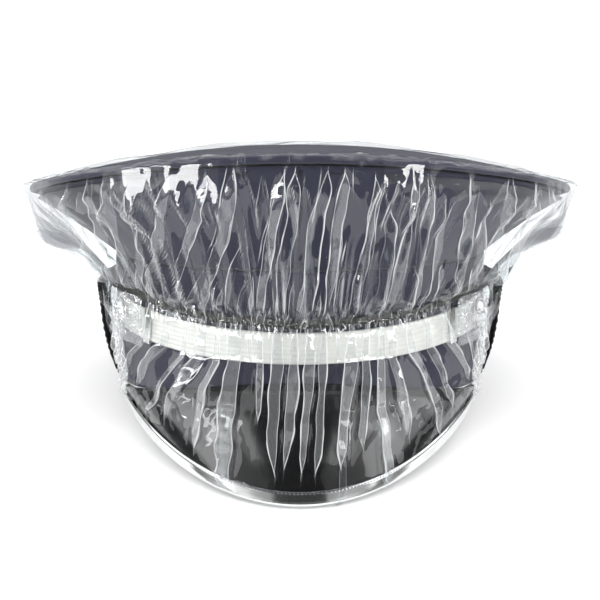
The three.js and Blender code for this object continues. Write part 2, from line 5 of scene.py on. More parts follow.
import bpy
import numpy as np
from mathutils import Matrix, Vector


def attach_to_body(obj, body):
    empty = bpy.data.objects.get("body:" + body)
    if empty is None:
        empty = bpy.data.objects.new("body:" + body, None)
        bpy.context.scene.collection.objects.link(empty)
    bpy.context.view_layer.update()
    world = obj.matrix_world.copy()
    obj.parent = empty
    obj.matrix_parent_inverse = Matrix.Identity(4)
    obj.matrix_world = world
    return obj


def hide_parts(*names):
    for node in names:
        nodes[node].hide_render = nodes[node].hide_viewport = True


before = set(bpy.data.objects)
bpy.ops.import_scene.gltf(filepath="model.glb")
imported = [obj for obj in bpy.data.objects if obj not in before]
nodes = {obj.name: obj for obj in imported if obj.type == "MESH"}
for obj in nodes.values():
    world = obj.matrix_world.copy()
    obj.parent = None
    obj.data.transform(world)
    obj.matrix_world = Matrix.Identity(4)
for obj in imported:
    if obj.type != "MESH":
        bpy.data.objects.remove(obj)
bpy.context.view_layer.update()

# Sizes of the part in millimetres, on the plane of the band's lower edge; the front faces -Y
LEAN = math.radians(8.909)
CAP_PLACE = (0.0, -0.905, 16.106)
BAND_HALF_WIDTH, BAND_HALF_LENGTH, BAND_HEIGHT, BAND_FRONT_RISE = 88.0, 104.0, 58.0, 10.2
RIM_HALF_WIDTH, RIM_HALF_LENGTH, RIM_SETBACK = 127.0, 130.0, 4.0
CROWN_FRONT, CROWN_SIDE, CROWN_REAR, CROWN_CENTRE = 108.0, 85.5, 80.0, 105.0
PIPING_RADIUS, PANEL_LIFT, CLOTH = 1.8, 1.2, 1.2
SEAM = 0.3  # between pieces that are sewn together
PEAK_HALF_ANGLE = math.radians(67.5)
PEAK_TIP = (-139.0, -36.0)
PEAK_CORNER = (79.5, -36.0, -6.0)
PEAK_RIM_POWER, PEAK_BULGE = 1.6, 5.0
SHELL_TOP, UNDERLAY_BOTTOM = 1.35, -0.95
STRAP_HEIGHT, STRAP_FRONT, STRAP_SIDE = 14.0, 25.0, 33.5
STRAP_IN, STRAP_OUT = 1.3, 2.3
BUTTON_ANGLE = math.radians(63.75)
TAPE_WIDTH = 8.0

# Lines of the cover: degrees from the front, height, distance from the band
GATHER_LINE = ((0, 36, 3), (30, 39, 3), (60, 46, 3.2), (75, 46, 4))
TAPE_LINE = ((75, 11, 3.5), (90, 30, 7.5), (97.5, 37, 11), (105, 39, 15),
             (120, 43, 20), (150, 52, 18), (180, 57, 15))
WAIST_LINE = ((67.5, 50, 6), (75, 48, 3.5), (90, 49, 4.5), (97.5, 49.5, 9), (105, 50, 17))

PHOTO_SIDE, PHOTO_FOCAL = 600.0, 2065.0
rng = np.random.default_rng(7)


# Places on the cap, as arrays over the angle t round it (radians, 0 in front, positive to +X)
def place(x, y, z):
    return np.stack(np.broadcast_arrays(x, y, z), -1).astype(float)


def unit(v):
    return v / np.maximum(np.linalg.norm(v, axis=-1, keepdims=True), 1e-9)


def smooth(x, low, high):
    k = np.clip((x - low) / (high - low), 0, 1)
    return k * k * (3 - 2 * k)


def wrapped(t):
    return np.arctan2(np.sin(t), np.cos(t))


def turn_of(t):
    """Degrees from the front, on either side."""
    return np.degrees(np.abs(wrapped(t)))


def hermite(k, start, leave, end, arrive):
    """The cubic from start to end with these slopes, at the share k of the way."""
    return (start * (2 * k**3 - 3 * k**2 + 1) + leave * (k**3 - 2 * k**2 + k)
            + end * (3 * k**2 - 2 * k**3) + arrive * (k**3 - k**2))


def follow(rows, t):
    """Height and stand-off along a line of the cover, smooth through its rows."""
    table = np.array(rows, float)
    degrees = np.clip(turn_of(t), table[0, 0], table[-1, 0])
    slopes = np.gradient(table[:, 1:], table[:, 0], axis=0)
    slopes[1:-1] = (table[2:, 1:] - table[:-2, 1:]) / (table[2:, :1] - table[:-2, :1])
    row = np.clip(np.searchsorted(table[:, 0], degrees, side="right") - 1, 0, len(table) - 2)
    width = (table[row + 1, 0] - table[row, 0])[..., None]
    k = (degrees - table[row, 0])[..., None] / width
    value = hermite(k, table[row, 1:], slopes[row] * width, table[row + 1, 1:], slopes[row + 1] * width)
    return value[..., 0], value[..., 1]


def band_point(t, height, out):
    return place((BAND_HALF_WIDTH + out) * np.sin(t), -(BAND_HALF_LENGTH + out) * np.cos(t), height)


def band_normal(t):
    return unit(place(np.sin(t) / BAND_HALF_WIDTH, -np.cos(t) / BAND_HALF_LENGTH, 0.0))


def band_bottom(t):
    share = np.minimum(np.abs(wrapped(t)) / PEAK_HALF_ANGLE, 1)
    return BAND_FRONT_RISE * np.cos(share * math.pi / 2) ** 2


CROWN_PITCH = (CROWN_FRONT - CROWN_REAR) / 2
CROWN_SADDLE = ((CROWN_FRONT + CROWN_REAR) / 2 - CROWN_SIDE) / 2
CROWN_DOME = CROWN_CENTRE - CROWN_SIDE - CROWN_SADDLE


def crown_height(t, share):
    return (CROWN_CENTRE + CROWN_PITCH * share * np.cos(t)
            + share**2 * (CROWN_SADDLE * np.cos(2 * t) - CROWN_DOME))


def rim_point(t):
    return place(RIM_HALF_WIDTH * np.sin(t), RIM_SETBACK - RIM_HALF_LENGTH * np.cos(t), crown_height(t, 1.0))


def rim_outward(t):
    return place(np.sin(t), -np.cos(t), 0.0)


def rim_along(t):
    return place(np.cos(t), np.sin(t), 0.0)


def rim_wrap(t, degrees, out):
    """Round the piping: 0 degrees is outward, 90 is up."""
    turn = np.radians(degrees)
    return rim_point(t) + rim_outward(t) * (np.cos(turn) * out)[..., None] + place(0.0, 0.0, np.sin(turn) * out)


def top_point(t, share):
    rim = rim_point(t)
    return place(rim[..., 0] * share, RIM_SETBACK + (rim[..., 1] - RIM_SETBACK) * share,
                 crown_height(t, share) + PANEL_LIFT)


def quarter_point(t, share):
    low = band_point(t, BAND_HEIGHT + SEAM, 0.0)
    rim = rim_point(t) - np.array([0, 0, PANEL_LIFT])
    high = rim + unit(low - rim) * (PIPING_RADIUS + SEAM)
    return low + (high - low) * np.asarray(share)[..., None]


def peak_lean(t):
    return np.maximum(np.cos(t / PEAK_HALF_ANGLE * math.pi / 2), 0)


def peak_point(t, share):
    lean = peak_lean(t)
    attach = band_point(t, band_bottom(t) - SEAM - SHELL_TOP, -1.0)
    forward = lean**PEAK_RIM_POWER
    rim = place(PEAK_CORNER[0] * np.sin(t / PEAK_HALF_ANGLE * math.pi / 2),
                PEAK_CORNER[1] + (PEAK_TIP[0] - PEAK_CORNER[1]) * forward,
                PEAK_CORNER[2] + (PEAK_TIP[1] - PEAK_CORNER[2]) * forward)
    share = np.asarray(share)[..., None]
    bulge = 4 * share * (1 - share) * lean[..., None] * PEAK_BULGE
    return attach + (rim - attach) * share + unit(band_normal(t) + np.array([0, 0, 1.0])) * bulge


def peak_frame(t, share):
    """The peak's outward direction and its normal."""
    along = unit(peak_point(t + 0.01, share) - peak_point(t - 0.01, share))
    out = unit(peak_point(t, np.asarray(share) + 0.02) - peak_point(t, np.asarray(share) - 0.02))
    return out, unit(np.cross(out, along))


def strap_centre(t):
    rise = (STRAP_SIDE - STRAP_FRONT) / (1 - math.cos(BUTTON_ANGLE))
    return STRAP_FRONT + rise * (1 - np.cos(t))


def to_world(points):
    """From millimetres on the cap's own plane to metres in the part's frame."""
    c, s = math.cos(LEAN), math.sin(LEAN)
    x, y, z = points[..., 0], points[..., 1], points[..., 2]
    return (place(x, y * c + z * s, z * c - y * s) + np.array(CAP_PLACE)) / 1000


# Meshes
def add_object(name, data):
    thing = bpy.data.objects.new(name, data)
    bpy.context.scene.collection.objects.link(thing)
    return thing


def plain_mesh(name, points, faces):
    mesh = bpy.data.meshes.new(name)
    mesh.from_pydata(points, [], faces)
    return mesh


def point_values(mesh, name, values):
    layer = mesh.attributes.new(name, "FLOAT", "POINT")
    layer.data.foreach_set("value", values.astype(np.float32).ravel())


def pair(along, across):
    return np.meshgrid(along, across, indexing="ij")


def grid(low, high, count, across):
    """Angles and the second coordinate as a pair of arrays [angle, across]."""
    return pair(np.linspace(low, high, count), across)


def grid_mesh(name, points, closed=False, ring=False):
    """A sheet of quads through points[along, across], its UVs in millimetres. It closes along its length,
    across it (a ring, whose open ends are capped), or both."""
    along, across = points.shape[:2]
    index = np.arange(along * across).reshape(along, across)
    here = index if closed else index[:-1]
    ahead = np.roll(index, -1, 0) if closed else index[1:]
    side = (lambda a: a) if ring else (lambda a: a[:, :-1])
    nextto = (lambda a: np.roll(a, -1, 1)) if ring else (lambda a: a[:, 1:])
    quads = np.stack([side(here), side(ahead), nextto(ahead), nextto(here)], -1).reshape(-1, 4)
    loops, starts = quads.ravel(), np.arange(0, quads.size, 4)
    if ring and not closed:
        loops = np.concatenate([loops, index[0], index[-1][::-1]])
        starts = np.append(starts, [quads.size, quads.size + across])
    mesh = bpy.data.meshes.new(name)
    mesh.vertices.add(along * across)
    mesh.vertices.foreach_set("co", to_world(points).astype(np.float32).ravel())
    mesh.loops.add(len(loops))
    mesh.loops.foreach_set("vertex_index", loops.astype(np.int32))
    mesh.polygons.add(len(starts))
    mesh.polygons.foreach_set("loop_start", starts.astype(np.int32))
    mesh.polygons.foreach_set("use_smooth", np.ones(len(starts), bool))
    u = np.concatenate([[0], np.cumsum(np.linalg.norm(np.diff(points, axis=0), axis=-1).mean(1))])
    v = np.concatenate([[0], np.cumsum(np.linalg.norm(np.diff(points, axis=1), axis=-1).mean(0))])
    uv = np.stack(pair(u, v), -1).reshape(-1, 2)
    layer = mesh.uv_layers.new(name="UVMap")
    layer.data.foreach_set("uv", uv[loops].astype(np.float32).ravel())
    mesh.update()
    mesh.validate()
    return mesh


def mark_creases(mesh, points, strength, haze, painted_shade):
    """Keep how sharply the film bends at each point: vinyl goes white where it is creased, and is a little hazy (the
    least value) where it was kneaded into a pleat; the last value greys that haze, as painted shade."""
    bend = np.zeros(points.shape[:2])
    for axis in (0, 1):
        step = np.diff(points, axis=axis)
        size = np.linalg.norm(step, axis=-1)
        way = step / np.maximum(size, 1e-6)[..., None]
        first, second = (slice(None, -1), slice(1, None))
        cut = (lambda a, s: a[s]) if axis == 0 else (lambda a, s: a[:, s])
        turn = np.arccos(np.clip((cut(way, first) * cut(way, second)).sum(-1), -1, 1))
        sharp = turn / np.maximum(0.5 * (cut(size, first) + cut(size, second)), 0.12)
        inside = bend[1:-1] if axis == 0 else bend[:, 1:-1]
        np.maximum(inside, sharp, out=inside)
    point_values(mesh, "crease", np.maximum(smooth(bend, 0.5, 2.2) * strength, haze))
    point_values(mesh, "painted_shade", np.broadcast_to(painted_shade, bend.shape) * (1 - smooth(bend, 0.3, 1.2)))


def shell_points(outer, inner):
    """The closed section of a thin panel: out along its face, back along its reverse."""
    return np.concatenate([outer, inner[:, ::-1]], 1)


def piece(name, mesh, material, body, replaces):
    thing = add_object(name, mesh)
    mesh.materials.append(material)
    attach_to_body(thing, body)
    if replaces:
        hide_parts(*replaces)
    return thing


def solid(name, points, material, node, slot, body="cap", **closing):
    """A piece through a grid of points, in place of one node of the CAD part."""
    return piece(name, grid_mesh(name, points, **closing), material, body, [node])


def film_piece(name, points, replaces=(), strength=1.0, haze=0.0, painted_shade=0.0):
    mesh = grid_mesh(name, points)
    mark_creases(mesh, points, strength, haze, painted_shade)
    return piece(name, mesh, FILM, "rain_cover", replaces)


# Materials
def new_tree(name):
    material = bpy.data.materials.new(name)
    material.use_nodes = True
    material.node_tree.nodes.clear()
    return material, material.node_tree


def shader_node(tree, kind, inputs=None, **settings):
    """A new node with its settings and its inputs: a socket is linked, and a value is set."""
    made = tree.nodes.new("ShaderNode" + kind)
    for key, value in settings.items():
        setattr(made, key, value)
    for key, value in (inputs or {}).items():
        if isinstance(value, bpy.types.NodeSocket):
            tree.links.new(value, made.inputs[key])
        else:
            made.inputs[key].default_value = value
    return made


def principled(name, color, roughness, metallic=0.0, **sockets):
    material, tree = new_tree(name)
    inputs = {"Base Color": (*color, 1), "Roughness": roughness, "Metallic": metallic}
    inputs.update({key.replace("_", " "): value for key, value in sockets.items()})
    shader = shader_node(tree, "BsdfPrincipled", inputs)
    shader_node(tree, "OutputMaterial", {0: shader.outputs[0]})
    return material, tree, shader


def mapped(tree, space="UV", turn=0.0):
    """Places on the surface in millimetres: its UVs, or for a plain CAD node its own coordinates."""
    where = shader_node(tree, "TexCoord")
    grow = 1000.0 if space == "Object" else 1.0
    mapping = shader_node(tree, "Mapping", {"Vector": where.outputs[space], "Scale": (grow, grow, grow),
                                            "Rotation": (0, 0, turn)})
    return mapping.outputs["Vector"]


def noise_of(tree, vector, size, detail=3.0):
    noise = shader_node(tree, "TexNoise", {"Vector": vector, "Scale": 1 / size, "Detail": detail})
    return noise.outputs["Fac"]


def threads_of(tree, vector, periods):
    """Threads that cross, as a height; one period makes plain ribs."""
    heights = []
    for direction, period in zip("XY", periods):
        if period:
            inputs = {"Vector": vector, "Scale": math.pi / 10 / period, "Distortion": 0.5, "Detail": 1.0}
            heights.append(shader_node(tree, "TexWave", inputs, bands_direction=direction).outputs["Fac"])
    if len(heights) == 1:
        return heights[0]
    return shader_node(tree, "Math", dict(enumerate(heights)), operation="MAXIMUM").outputs[0]


def film_material(name, base_reflection, grazing, roughness, whitening):
    """Clear vinyl: it lets light through, mirrors more of it the flatter it is seen, and is white at creases; its
    haze turns grey where painted shade is marked.
    """
    material, tree = new_tree(name)
    grain = noise_of(tree, mapped(tree), 4.0, 2.0)
    bump = shader_node(tree, "Bump", {"Height": grain, "Distance": 0.00008, "Strength": 0.3})
    clear = shader_node(tree, "BsdfTransparent", {"Color": (0.97, 0.98, 0.985, 1)})
    gloss = shader_node(tree, "BsdfGlossy", {"Color": (1, 1, 1, 1), "Roughness": roughness,
                                             "Normal": bump.outputs["Normal"]})
    facing = shader_node(tree, "LayerWeight", {"Blend": 0.5})
    flat = shader_node(tree, "Math", {0: facing.outputs["Facing"], 1: 5.0}, operation="POWER")
    share = shader_node(tree, "Math", {0: flat.outputs[0], 1: grazing, 2: base_reflection},
                        operation="MULTIPLY_ADD")
    vinyl = shader_node(tree, "MixShader", {0: share.outputs[0], 1: clear.outputs[0], 2: gloss.outputs[0]})
    # where painted shade is marked, the haze goes from white to grey: painted shade and dark reflection
    painted_shade = shader_node(tree, "Attribute", attribute_name="painted_shade")
    shade = shader_node(tree, "Mix", {"Factor": painted_shade.outputs["Fac"], "A": (0.88, 0.89, 0.89, 1),
                                      "B": (0.36, 0.37, 0.4, 1)}, data_type="RGBA")
    white = shader_node(tree, "BsdfDiffuse", {"Color": shade.outputs["Result"]})
    crease = shader_node(tree, "Attribute", attribute_name="crease")
    much = shader_node(tree, "Math", {0: crease.outputs["Fac"], 1: whitening}, operation="MULTIPLY")
    whole = shader_node(tree, "MixShader", {0: much.outputs[0], 1: vinyl.outputs[0], 2: white.outputs[0]})
    shader_node(tree, "OutputMaterial", {0: whole.outputs[0]})
    return material


def finish(name, dark, light, roughness, space="UV", patch=8.0, threads=None, grain=1.0, turn=0.0,
           depth=0.1, strength=0.4, by_thread=False, **sockets):
    """A surface with slow colour changes, and a bump from its threads or its grain (sizes in mm)."""
    material, tree, shader = principled(name, dark, sum(roughness) / 2, **sockets)
    vector = mapped(tree, space, turn)
    slow = noise_of(tree, vector, patch)
    height = threads_of(tree, vector, threads) if threads else noise_of(tree, vector, grain, 4.0)
    color = shader_node(tree, "Mix", {"Factor": height if by_thread else slow, "A": (*dark, 1),
                                      "B": (*light, 1)}, data_type="RGBA")
    rough = shader_node(tree, "MapRange", {"Value": slow, "From Min": 0.3, "From Max": 0.7,
                                           "To Min": roughness[0], "To Max": roughness[1]})
    bump = shader_node(tree, "Bump", {"Height": height, "Distance": depth / 1000, "Strength": strength})
    for key, made in (("Base Color", color.outputs["Result"]), ("Roughness", rough.outputs["Result"]),
                      ("Normal", bump.outputs["Normal"])):
        tree.links.new(made, shader.inputs[key])
    return material


FILM = film_material("clear_vinyl", 0.048, 0.3, 0.04, 0.62)
NAVY = finish("navy_wool", (0.016, 0.018, 0.038), (0.024, 0.026, 0.052), (0.75, 0.9), threads=(0.55, 0.55),
              turn=0.7, depth=0.12, Sheen_Weight=0.15)
BAND = finish("band_cloth", (0.015, 0.015, 0.036), (0.021, 0.021, 0.047), (0.7, 0.85), threads=(0.6, 0.9),
              depth=0.12, Sheen_Weight=0.1)
PATENT = finish("patent", (0.0045, 0.0045, 0.005), (0.007, 0.007, 0.0075), (0.16, 0.24), grain=5.0, depth=0.05,
                strength=0.15, Coat_Weight=0.5, Coat_Roughness=0.1)
UNDERLAY = finish("underlay", (0.018, 0.025, 0.02), (0.028, 0.036, 0.03), (0.7, 0.85), threads=(0.7, 0.7))
BINDING = finish("silver_roll", (0.80, 0.80, 0.79), (0.88, 0.88, 0.87), (0.1, 0.2), grain=2.0, patch=14.0,
                 depth=0.04, strength=0.15, metallic=1.0)
BRAID = finish("silver_braid", (0.55, 0.55, 0.5), (0.86, 0.86, 0.82), (0.35, 0.5), threads=(0.5, 0.42),
               depth=0.12, strength=0.5, by_thread=True, metallic=0.25)
SILVER = finish("silver_metal", (0.78, 0.78, 0.75), (0.86, 0.86, 0.84), (0.1, 0.2), space="Object", grain=1.5,
                depth=0.02, strength=0.2, metallic=1.0)
BUTTON = finish("button_metal", (0.74, 0.74, 0.72), (0.86, 0.86, 0.84), (0.12, 0.25), grain=0.8, depth=0.03,
                strength=0.3, metallic=1.0)
STEEL = finish("steel", (0.30, 0.32, 0.33), (0.42, 0.44, 0.45), (0.3, 0.45), space="Object", grain=0.8, metallic=1.0)
LEATHER = finish("leather", (0.055, 0.028, 0.016), (0.085, 0.045, 0.027), (0.4, 0.55), grain=0.9, depth=0.15,
                 strength=0.5)
LINING = finish("satin_lining", (0.022, 0.024, 0.034), (0.036, 0.038, 0.052), (0.3, 0.42), threads=(0.35, None),
                depth=0.06, Sheen_Weight=0.2)
BOARD = finish("board", (0.44, 0.41, 0.33), (0.54, 0.51, 0.42), (0.75, 0.9), space="Object", grain=0.6)
ELASTIC = finish("white_elastic", (0.58, 0.59, 0.57), (0.74, 0.75, 0.73), (0.6, 0.75), threads=(0.6, 0.4),
                 by_thread=True, depth=0.2)
TAPE = finish("black_elastic", (0.006, 0.007, 0.006), (0.022, 0.023, 0.02), (0.5, 0.7), threads=(0.7, 0.9),
              by_thread=True, depth=0.25, strength=0.6)
THREAD = finish("grey_thread", (0.07, 0.07, 0.07), (0.14, 0.14, 0.14), (0.55, 0.7), grain=0.3, depth=0.05)

for node, material in {
    "crown_wire": STEEL, "front_stay": BOARD, "band_stiffener": BOARD, "button_clip_left": STEEL,
    "button_clip_right": STEEL, "strap_keeper_left": SILVER, "strap_keeper_right": SILVER,
}.items():
    nodes[node].data.materials.clear()
    nodes[node].data.materials.append(material)
for side in ("left", "right"):
    soften = nodes["strap_keeper_" + side].modifiers.new("soften", "BEVEL")
    soften.width, soften.segments = 0.00018, 2


def waves(seed, count, low, high):
    """A smooth random field of two coordinates, about 1 high; low and high bound its wavelengths."""
    draw = np.random.default_rng(seed)
    length = np.exp(draw.uniform(np.log(low), np.log(high), count))
    turn = draw.uniform(0, 2 * np.pi, count)
    phase = draw.uniform(0, 2 * np.pi, count)
    kx, ky = 2 * np.pi / length * np.cos(turn), 2 * np.pi / length * np.sin(turn)

    def field(x, y):
        total = np.zeros(np.broadcast(x, y).shape)
        for a, b, c in zip(kx, ky, phase):
            total += np.sin(a * x + b * y + c)
        return total / math.sqrt(count / 2)
    return field


ROUND = np.linspace(-math.pi, math.pi, 361)[:-1]
UP = np.array([0, 0, 1.0])
TOP_EDGE = 1 - (PIPING_RADIUS + SEAM) / RIM_HALF_WIDTH


# Crown: top panel, four quarters, piping, lining
def build_crown():
    rows = np.concatenate([[0.0, 0.03, 0.1], np.linspace(0.2, 0.94, 12), [0.97, 1.0]])
    t, share = pair(ROUND, rows)
    puff = 0.12 * waves(31, 10, 25.0, 60.0)(130 * share * np.sin(t), 130 * share * np.cos(t))
    face = top_point(t, share * TOP_EDGE) + (puff - 0.5 * smooth(share, 0.975, 1.0))[..., None] * UP
    solid("crown_top_cloth", shell_points(face, face - CLOTH * UP), NAVY, "crown_top", "navy_cloth", closed=True)
    quarter, radius, gap = math.pi / 2, 115, 0.03 / (2 * BAND_HALF_WIDTH)
    for k, name in enumerate(("front_right", "rear_right", "rear_left", "front_left")):
        t, share = grid(k * quarter + gap, (k + 1) * quarter - gap, 121, np.linspace(0, 1, 19))
        normal = unit(np.cross(rim_along(t), rim_point(t) - band_point(t, BAND_HEIGHT + SEAM, 0.0)))
        seam = np.minimum(t - k * quarter, (k + 1) * quarter - t) * radius
        ease = 0.25 * waves(32 + k, 10, 12.0, 40.0)(t * radius, share * 55) * np.sin(share * math.pi)
        pucker = 0.12 * np.sin(share * 75) * np.exp(-((seam - 2.5) / 1.5) ** 2)
        lift = ease - 0.3 + pucker - 0.45 * np.exp(-(seam / 0.9) ** 2)
        cloth = quarter_point(t, share) - ((1 - share) ** 8 * 0.26)[..., None] * UP
        points = shell_points(cloth + normal * lift[..., None], cloth - normal * CLOTH)
        solid(f"crown_quarter_{name}_cloth", points, NAVY, "crown_quarter_" + name, "navy_cloth", ring=True)
    t, turn = pair(ROUND, np.linspace(0, 360, 17)[:-1])
    cord = PIPING_RADIUS - 0.05 + 0.05 * np.sin(t * 300 + np.radians(turn))
    solid("crown_piping_cord", rim_wrap(t, turn, cord), NAVY, "crown_piping", "navy_cloth", closed=True, ring=True)
    build_lining()


def build_lining():
    """Under the top, in to the band and down behind it, with small tucks all round."""
    below, wall, neck, low_edge = CLOTH + SEAM + 0.6, -3.4, BAND_HEIGHT + 1.2, 44.0
    t = ROUND[:, None]
    rows = [top_point(t, share * TOP_EDGE) - (below + 4.0 * smooth(share, 0.55, 1.0)) * UP
            for share in np.linspace(0, 1, 11)]
    rows += [rows[-1] + (band_point(t, neck, wall) - rows[-1]) * k for k in (0.25, 0.5, 0.75)]
    rows += [band_point(t, height, wall) for height in np.linspace(neck, low_edge, 6)]
    face = np.concatenate(rows, 1)
    tuck = np.sin(np.linspace(0, math.pi, face.shape[1])) ** 2 * 0.5
    face[..., 2] += tuck * (np.sin(t * 36) - 1) * 0.5
    normal = unit(np.cross(np.roll(face, -1, 0) - np.roll(face, 1, 0), np.gradient(face, axis=1)))
    normal[:, 0] = -UP
    solid("crown_lining_satin", shell_points(face, face + 0.5 * normal), LINING, "crown_lining", "lining",
          closed=True)


# Band, sweatband, strap and buttons
def build_band():
    height = np.concatenate([[0.0, 0.15, 0.5], np.linspace(2, 56, 16), [57.5, 57.85, 58.0]])
    t, h = pair(ROUND, height)
    bottom = band_bottom(t)
    seam = 0.26 + 0.5 * smooth(peak_lean(np.clip(wrapped(t), -PEAK_HALF_ANGLE, PEAK_HALF_ANGLE)), 0.0, 0.3)
    level = bottom - seam + (BAND_HEIGHT - bottom + seam) * h / BAND_HEIGHT
    rounding = 0.35 * (1 - smooth(np.minimum(h, BAND_HEIGHT - h), 0, 0.5))
    ease = 0.12 * waves(41, 10, 14.0, 40.0)(t * 96, h) * np.sin(h / BAND_HEIGHT * math.pi)
    face = band_point(t, level, ease - 0.12 - rounding)
    back = band_point(t, level, -CLOTH + rounding)
    solid("cap_band_cloth", shell_points(face, back), BAND, "cap_band", "band_cloth", closed=True, ring=True)
    low, high = 0.5, 30.0
    height = np.array([0.5, 0.9, 1.5, 3, 6, 12, 18, 24, 28, 29.3, 29.8, 30])
    t, share = pair(ROUND, 1 - (height - low) / (high - low))
    level = high - share * (high - low) + share * band_bottom(t)
    soft = 0.15 * waves(42, 8, 18.0, 50.0)(t * 90, level)
    edge = 1 - smooth(share * (high - low), 0, 0.6)
    inner = band_point(t, level, -5.3 + 0.35 * edge + soft * (1 - edge))
    outer = band_point(t, level, np.where(share > 0.94, -2.9, -4.2) - 0.3 * edge)
    solid("sweatband_leather", shell_points(inner, outer), LEATHER, "sweatband", "sweatband_leather",
          closed=True, ring=True)


def build_strap():
    rib = np.linspace(-1, 1, 61)
    ribs = 0.28 * np.abs(np.sin((rib + 1) / 2 * math.pi * 7)) ** 0.7
    edge = 1 - smooth(1 - np.abs(rib), 0.0, 0.04)
    t, h = grid(-PEAK_HALF_ANGLE, PEAK_HALF_ANGLE, 401, rib * STRAP_HEIGHT / 2)
    cross = 0.03 * np.sin(t * 104 * 2 * math.pi / 1.1)
    face = band_point(t, strap_centre(t) + h, STRAP_OUT - 0.3 + ribs - 0.45 * edge + cross)
    back = band_point(t, strap_centre(t) + h, STRAP_IN + 0.2 * edge)
    solid("front_strap_braid", shell_points(face, back), BRAID, "front_strap", "silver_braid", ring=True)


# Section of a button: (radius, height above the strap), from the dome's middle round the rope edge to the shank
BUTTON_SECTION = (
    (0.001, 4.5), (1.5, 4.42), (3.0, 4.1), (4.3, 3.5), (5.2, 2.8), (5.7, 2.25), (6.0, 2.1), (6.3, 2.35), (6.65, 2.4),
    (6.95, 2.0), (7.0, 1.2), (6.8, 0.5), (6.0, 0.2), (3.0, 0.1), (1.6, 0.0), (1.6, -6.0), (1.4, -6.4), (0.001, -6.4))
ROPE_FIRST, ROPE_LAST = 7, 9


def build_button(side, sign):
    """A plain domed button with a rope edge, turned about its shank."""
    radius, height = np.array(BUTTON_SECTION).T
    turn, k = pair(np.linspace(0, 2 * math.pi, 97)[:-1], np.arange(len(radius)))
    rope = np.where((k >= ROPE_FIRST) & (k <= ROPE_LAST), 0.16 * np.cos(24 * turn), 0.0)
    t = np.array(sign * BUTTON_ANGLE)
    normal = band_normal(t)
    along = unit(np.cross(UP, normal))
    points = (band_point(t, strap_centre(t), 2.6) + along * (radius[k] * np.cos(turn))[..., None]
              + UP * (radius[k] * np.sin(turn))[..., None] + normal * (height[k] + rope)[..., None])
    solid(f"side_button_{side}_dome", points, BUTTON, "side_button_" + side, "silver_metal",
          body="button_" + side, closed=True)


# Peak: shell, underlay, binding and its stitches
BINDING_LEG = 5.0


def peak_rim(t, out, lift):
    outward, normal = peak_frame(t, 0.98)
    return peak_point(t, 1.0) + outward * np.asarray(out)[..., None] + normal * np.asarray(lift)[..., None]


def binding_leg(t):
    """How far the binding reaches in over the peak: less at the corners."""
    return BINDING_LEG * np.minimum(1, 0.5 + 2 * peak_lean(t))


def build_peak():
    across = np.concatenate([[0, 0.002, 0.008], np.linspace(0.03, 0.97, 24), [0.992, 0.998, 1]])
    t, share = grid(-PEAK_HALF_ANGLE, PEAK_HALF_ANGLE, 181, across)
    _, normal = peak_frame(t, np.clip(share, 0.02, 0.98))
    middle = peak_point(t, share)
    for name, node, material, slot, top, bottom in (
            ("peak_shell_patent", "peak_shell", PATENT, "patent", SHELL_TOP, 0.15),
            ("peak_underlay_cloth", "peak_underlay", UNDERLAY, "underlay", -0.15, UNDERLAY_BOTTOM)):
        solid(name, shell_points(middle + normal * top, middle + normal * bottom), material, node, slot, ring=True)
    turn = np.radians(np.linspace(90, 0, 7))

    def wrap(d, leg):
        """The binding's section at the distance d from shell and underlay, as (out, lift)."""
        over = [(-share * leg, SHELL_TOP + d) for share in (1, 0.66, 0.33)]
        over += [(d * math.cos(k), SHELL_TOP + d * math.sin(k)) for k in turn]
        under = [(d * math.cos(k), UNDERLAY_BOTTOM - d * math.sin(k)) for k in turn[::-1]]
        return over + under + [(-share * leg, UNDERLAY_BOTTOM - d) for share in (0.5, 1)]

    t = np.linspace(-PEAK_HALF_ANGLE, PEAK_HALF_ANGLE, 241)
    sides = [np.stack([peak_rim(t, out, lift) for out, lift in wrap(d, binding_leg(t))], 1) for d in (1.02, 0.5)]
    solid("peak_binding_roll", shell_points(*sides), BINDING, "peak_binding", "silver_roll", ring=True)
    build_stitches()


def build_stitches():
    """Short thread stitches along the inner edge of the binding."""
    t = np.linspace(-PEAK_HALF_ANGLE * 0.97, PEAK_HALF_ANGLE * 0.97, 4001)
    line = peak_rim(t, 1.0 - binding_leg(t), SHELL_TOP + 1.05)
    run = np.concatenate([[0], np.cumsum(np.linalg.norm(np.diff(line, axis=0), axis=-1))])
    pitch, length, sides = 1.7, 1.05, 6
    verts, faces = [], []
    ring = np.linspace(0, 2 * math.pi, sides + 1)[:-1]
    for at in np.arange(1.0, run[-1] - 1.0, pitch):
        first = len(verts)
        for k, wide in ((-0.5, 0.12), (-0.35, 0.26), (0.0, 0.3), (0.35, 0.26), (0.5, 0.12)):
            angle = np.interp(at + k * length, run, t)
            out = 1.0 - binding_leg(angle)
            lift = SHELL_TOP + 1.04 + 0.1 * (1 - (2 * k) ** 2)
            for a in ring:
                verts.append(peak_rim(np.array(angle), out + wide * math.cos(a), lift + 0.7 * wide * math.sin(a)))
        for k in range(first, first + 4 * sides, sides):
            for j in range(sides):
                a, b = k + j, k + (j + 1) % sides
                faces.append((a, b, b + sides, a + sides))
        faces.append(tuple(range(first + sides - 1, first - 1, -1)))
        faces.append(tuple(range(first + 4 * sides, first + 5 * sides)))
    mesh = plain_mesh("peak_binding_stitches", to_world(np.array(verts)).tolist(), faces)
    mesh.polygons.foreach_set("use_smooth", [True] * len(faces))
    piece("peak_binding_stitches", mesh, THREAD, "cap", ())


build_crown()
build_band()
build_strap()
build_button("left", -1)
build_button("right", 1)
build_peak()


# Pleated film
WIGGLE = waves(71, 10, 0.14, 0.6)
TURN_STEPS = 7


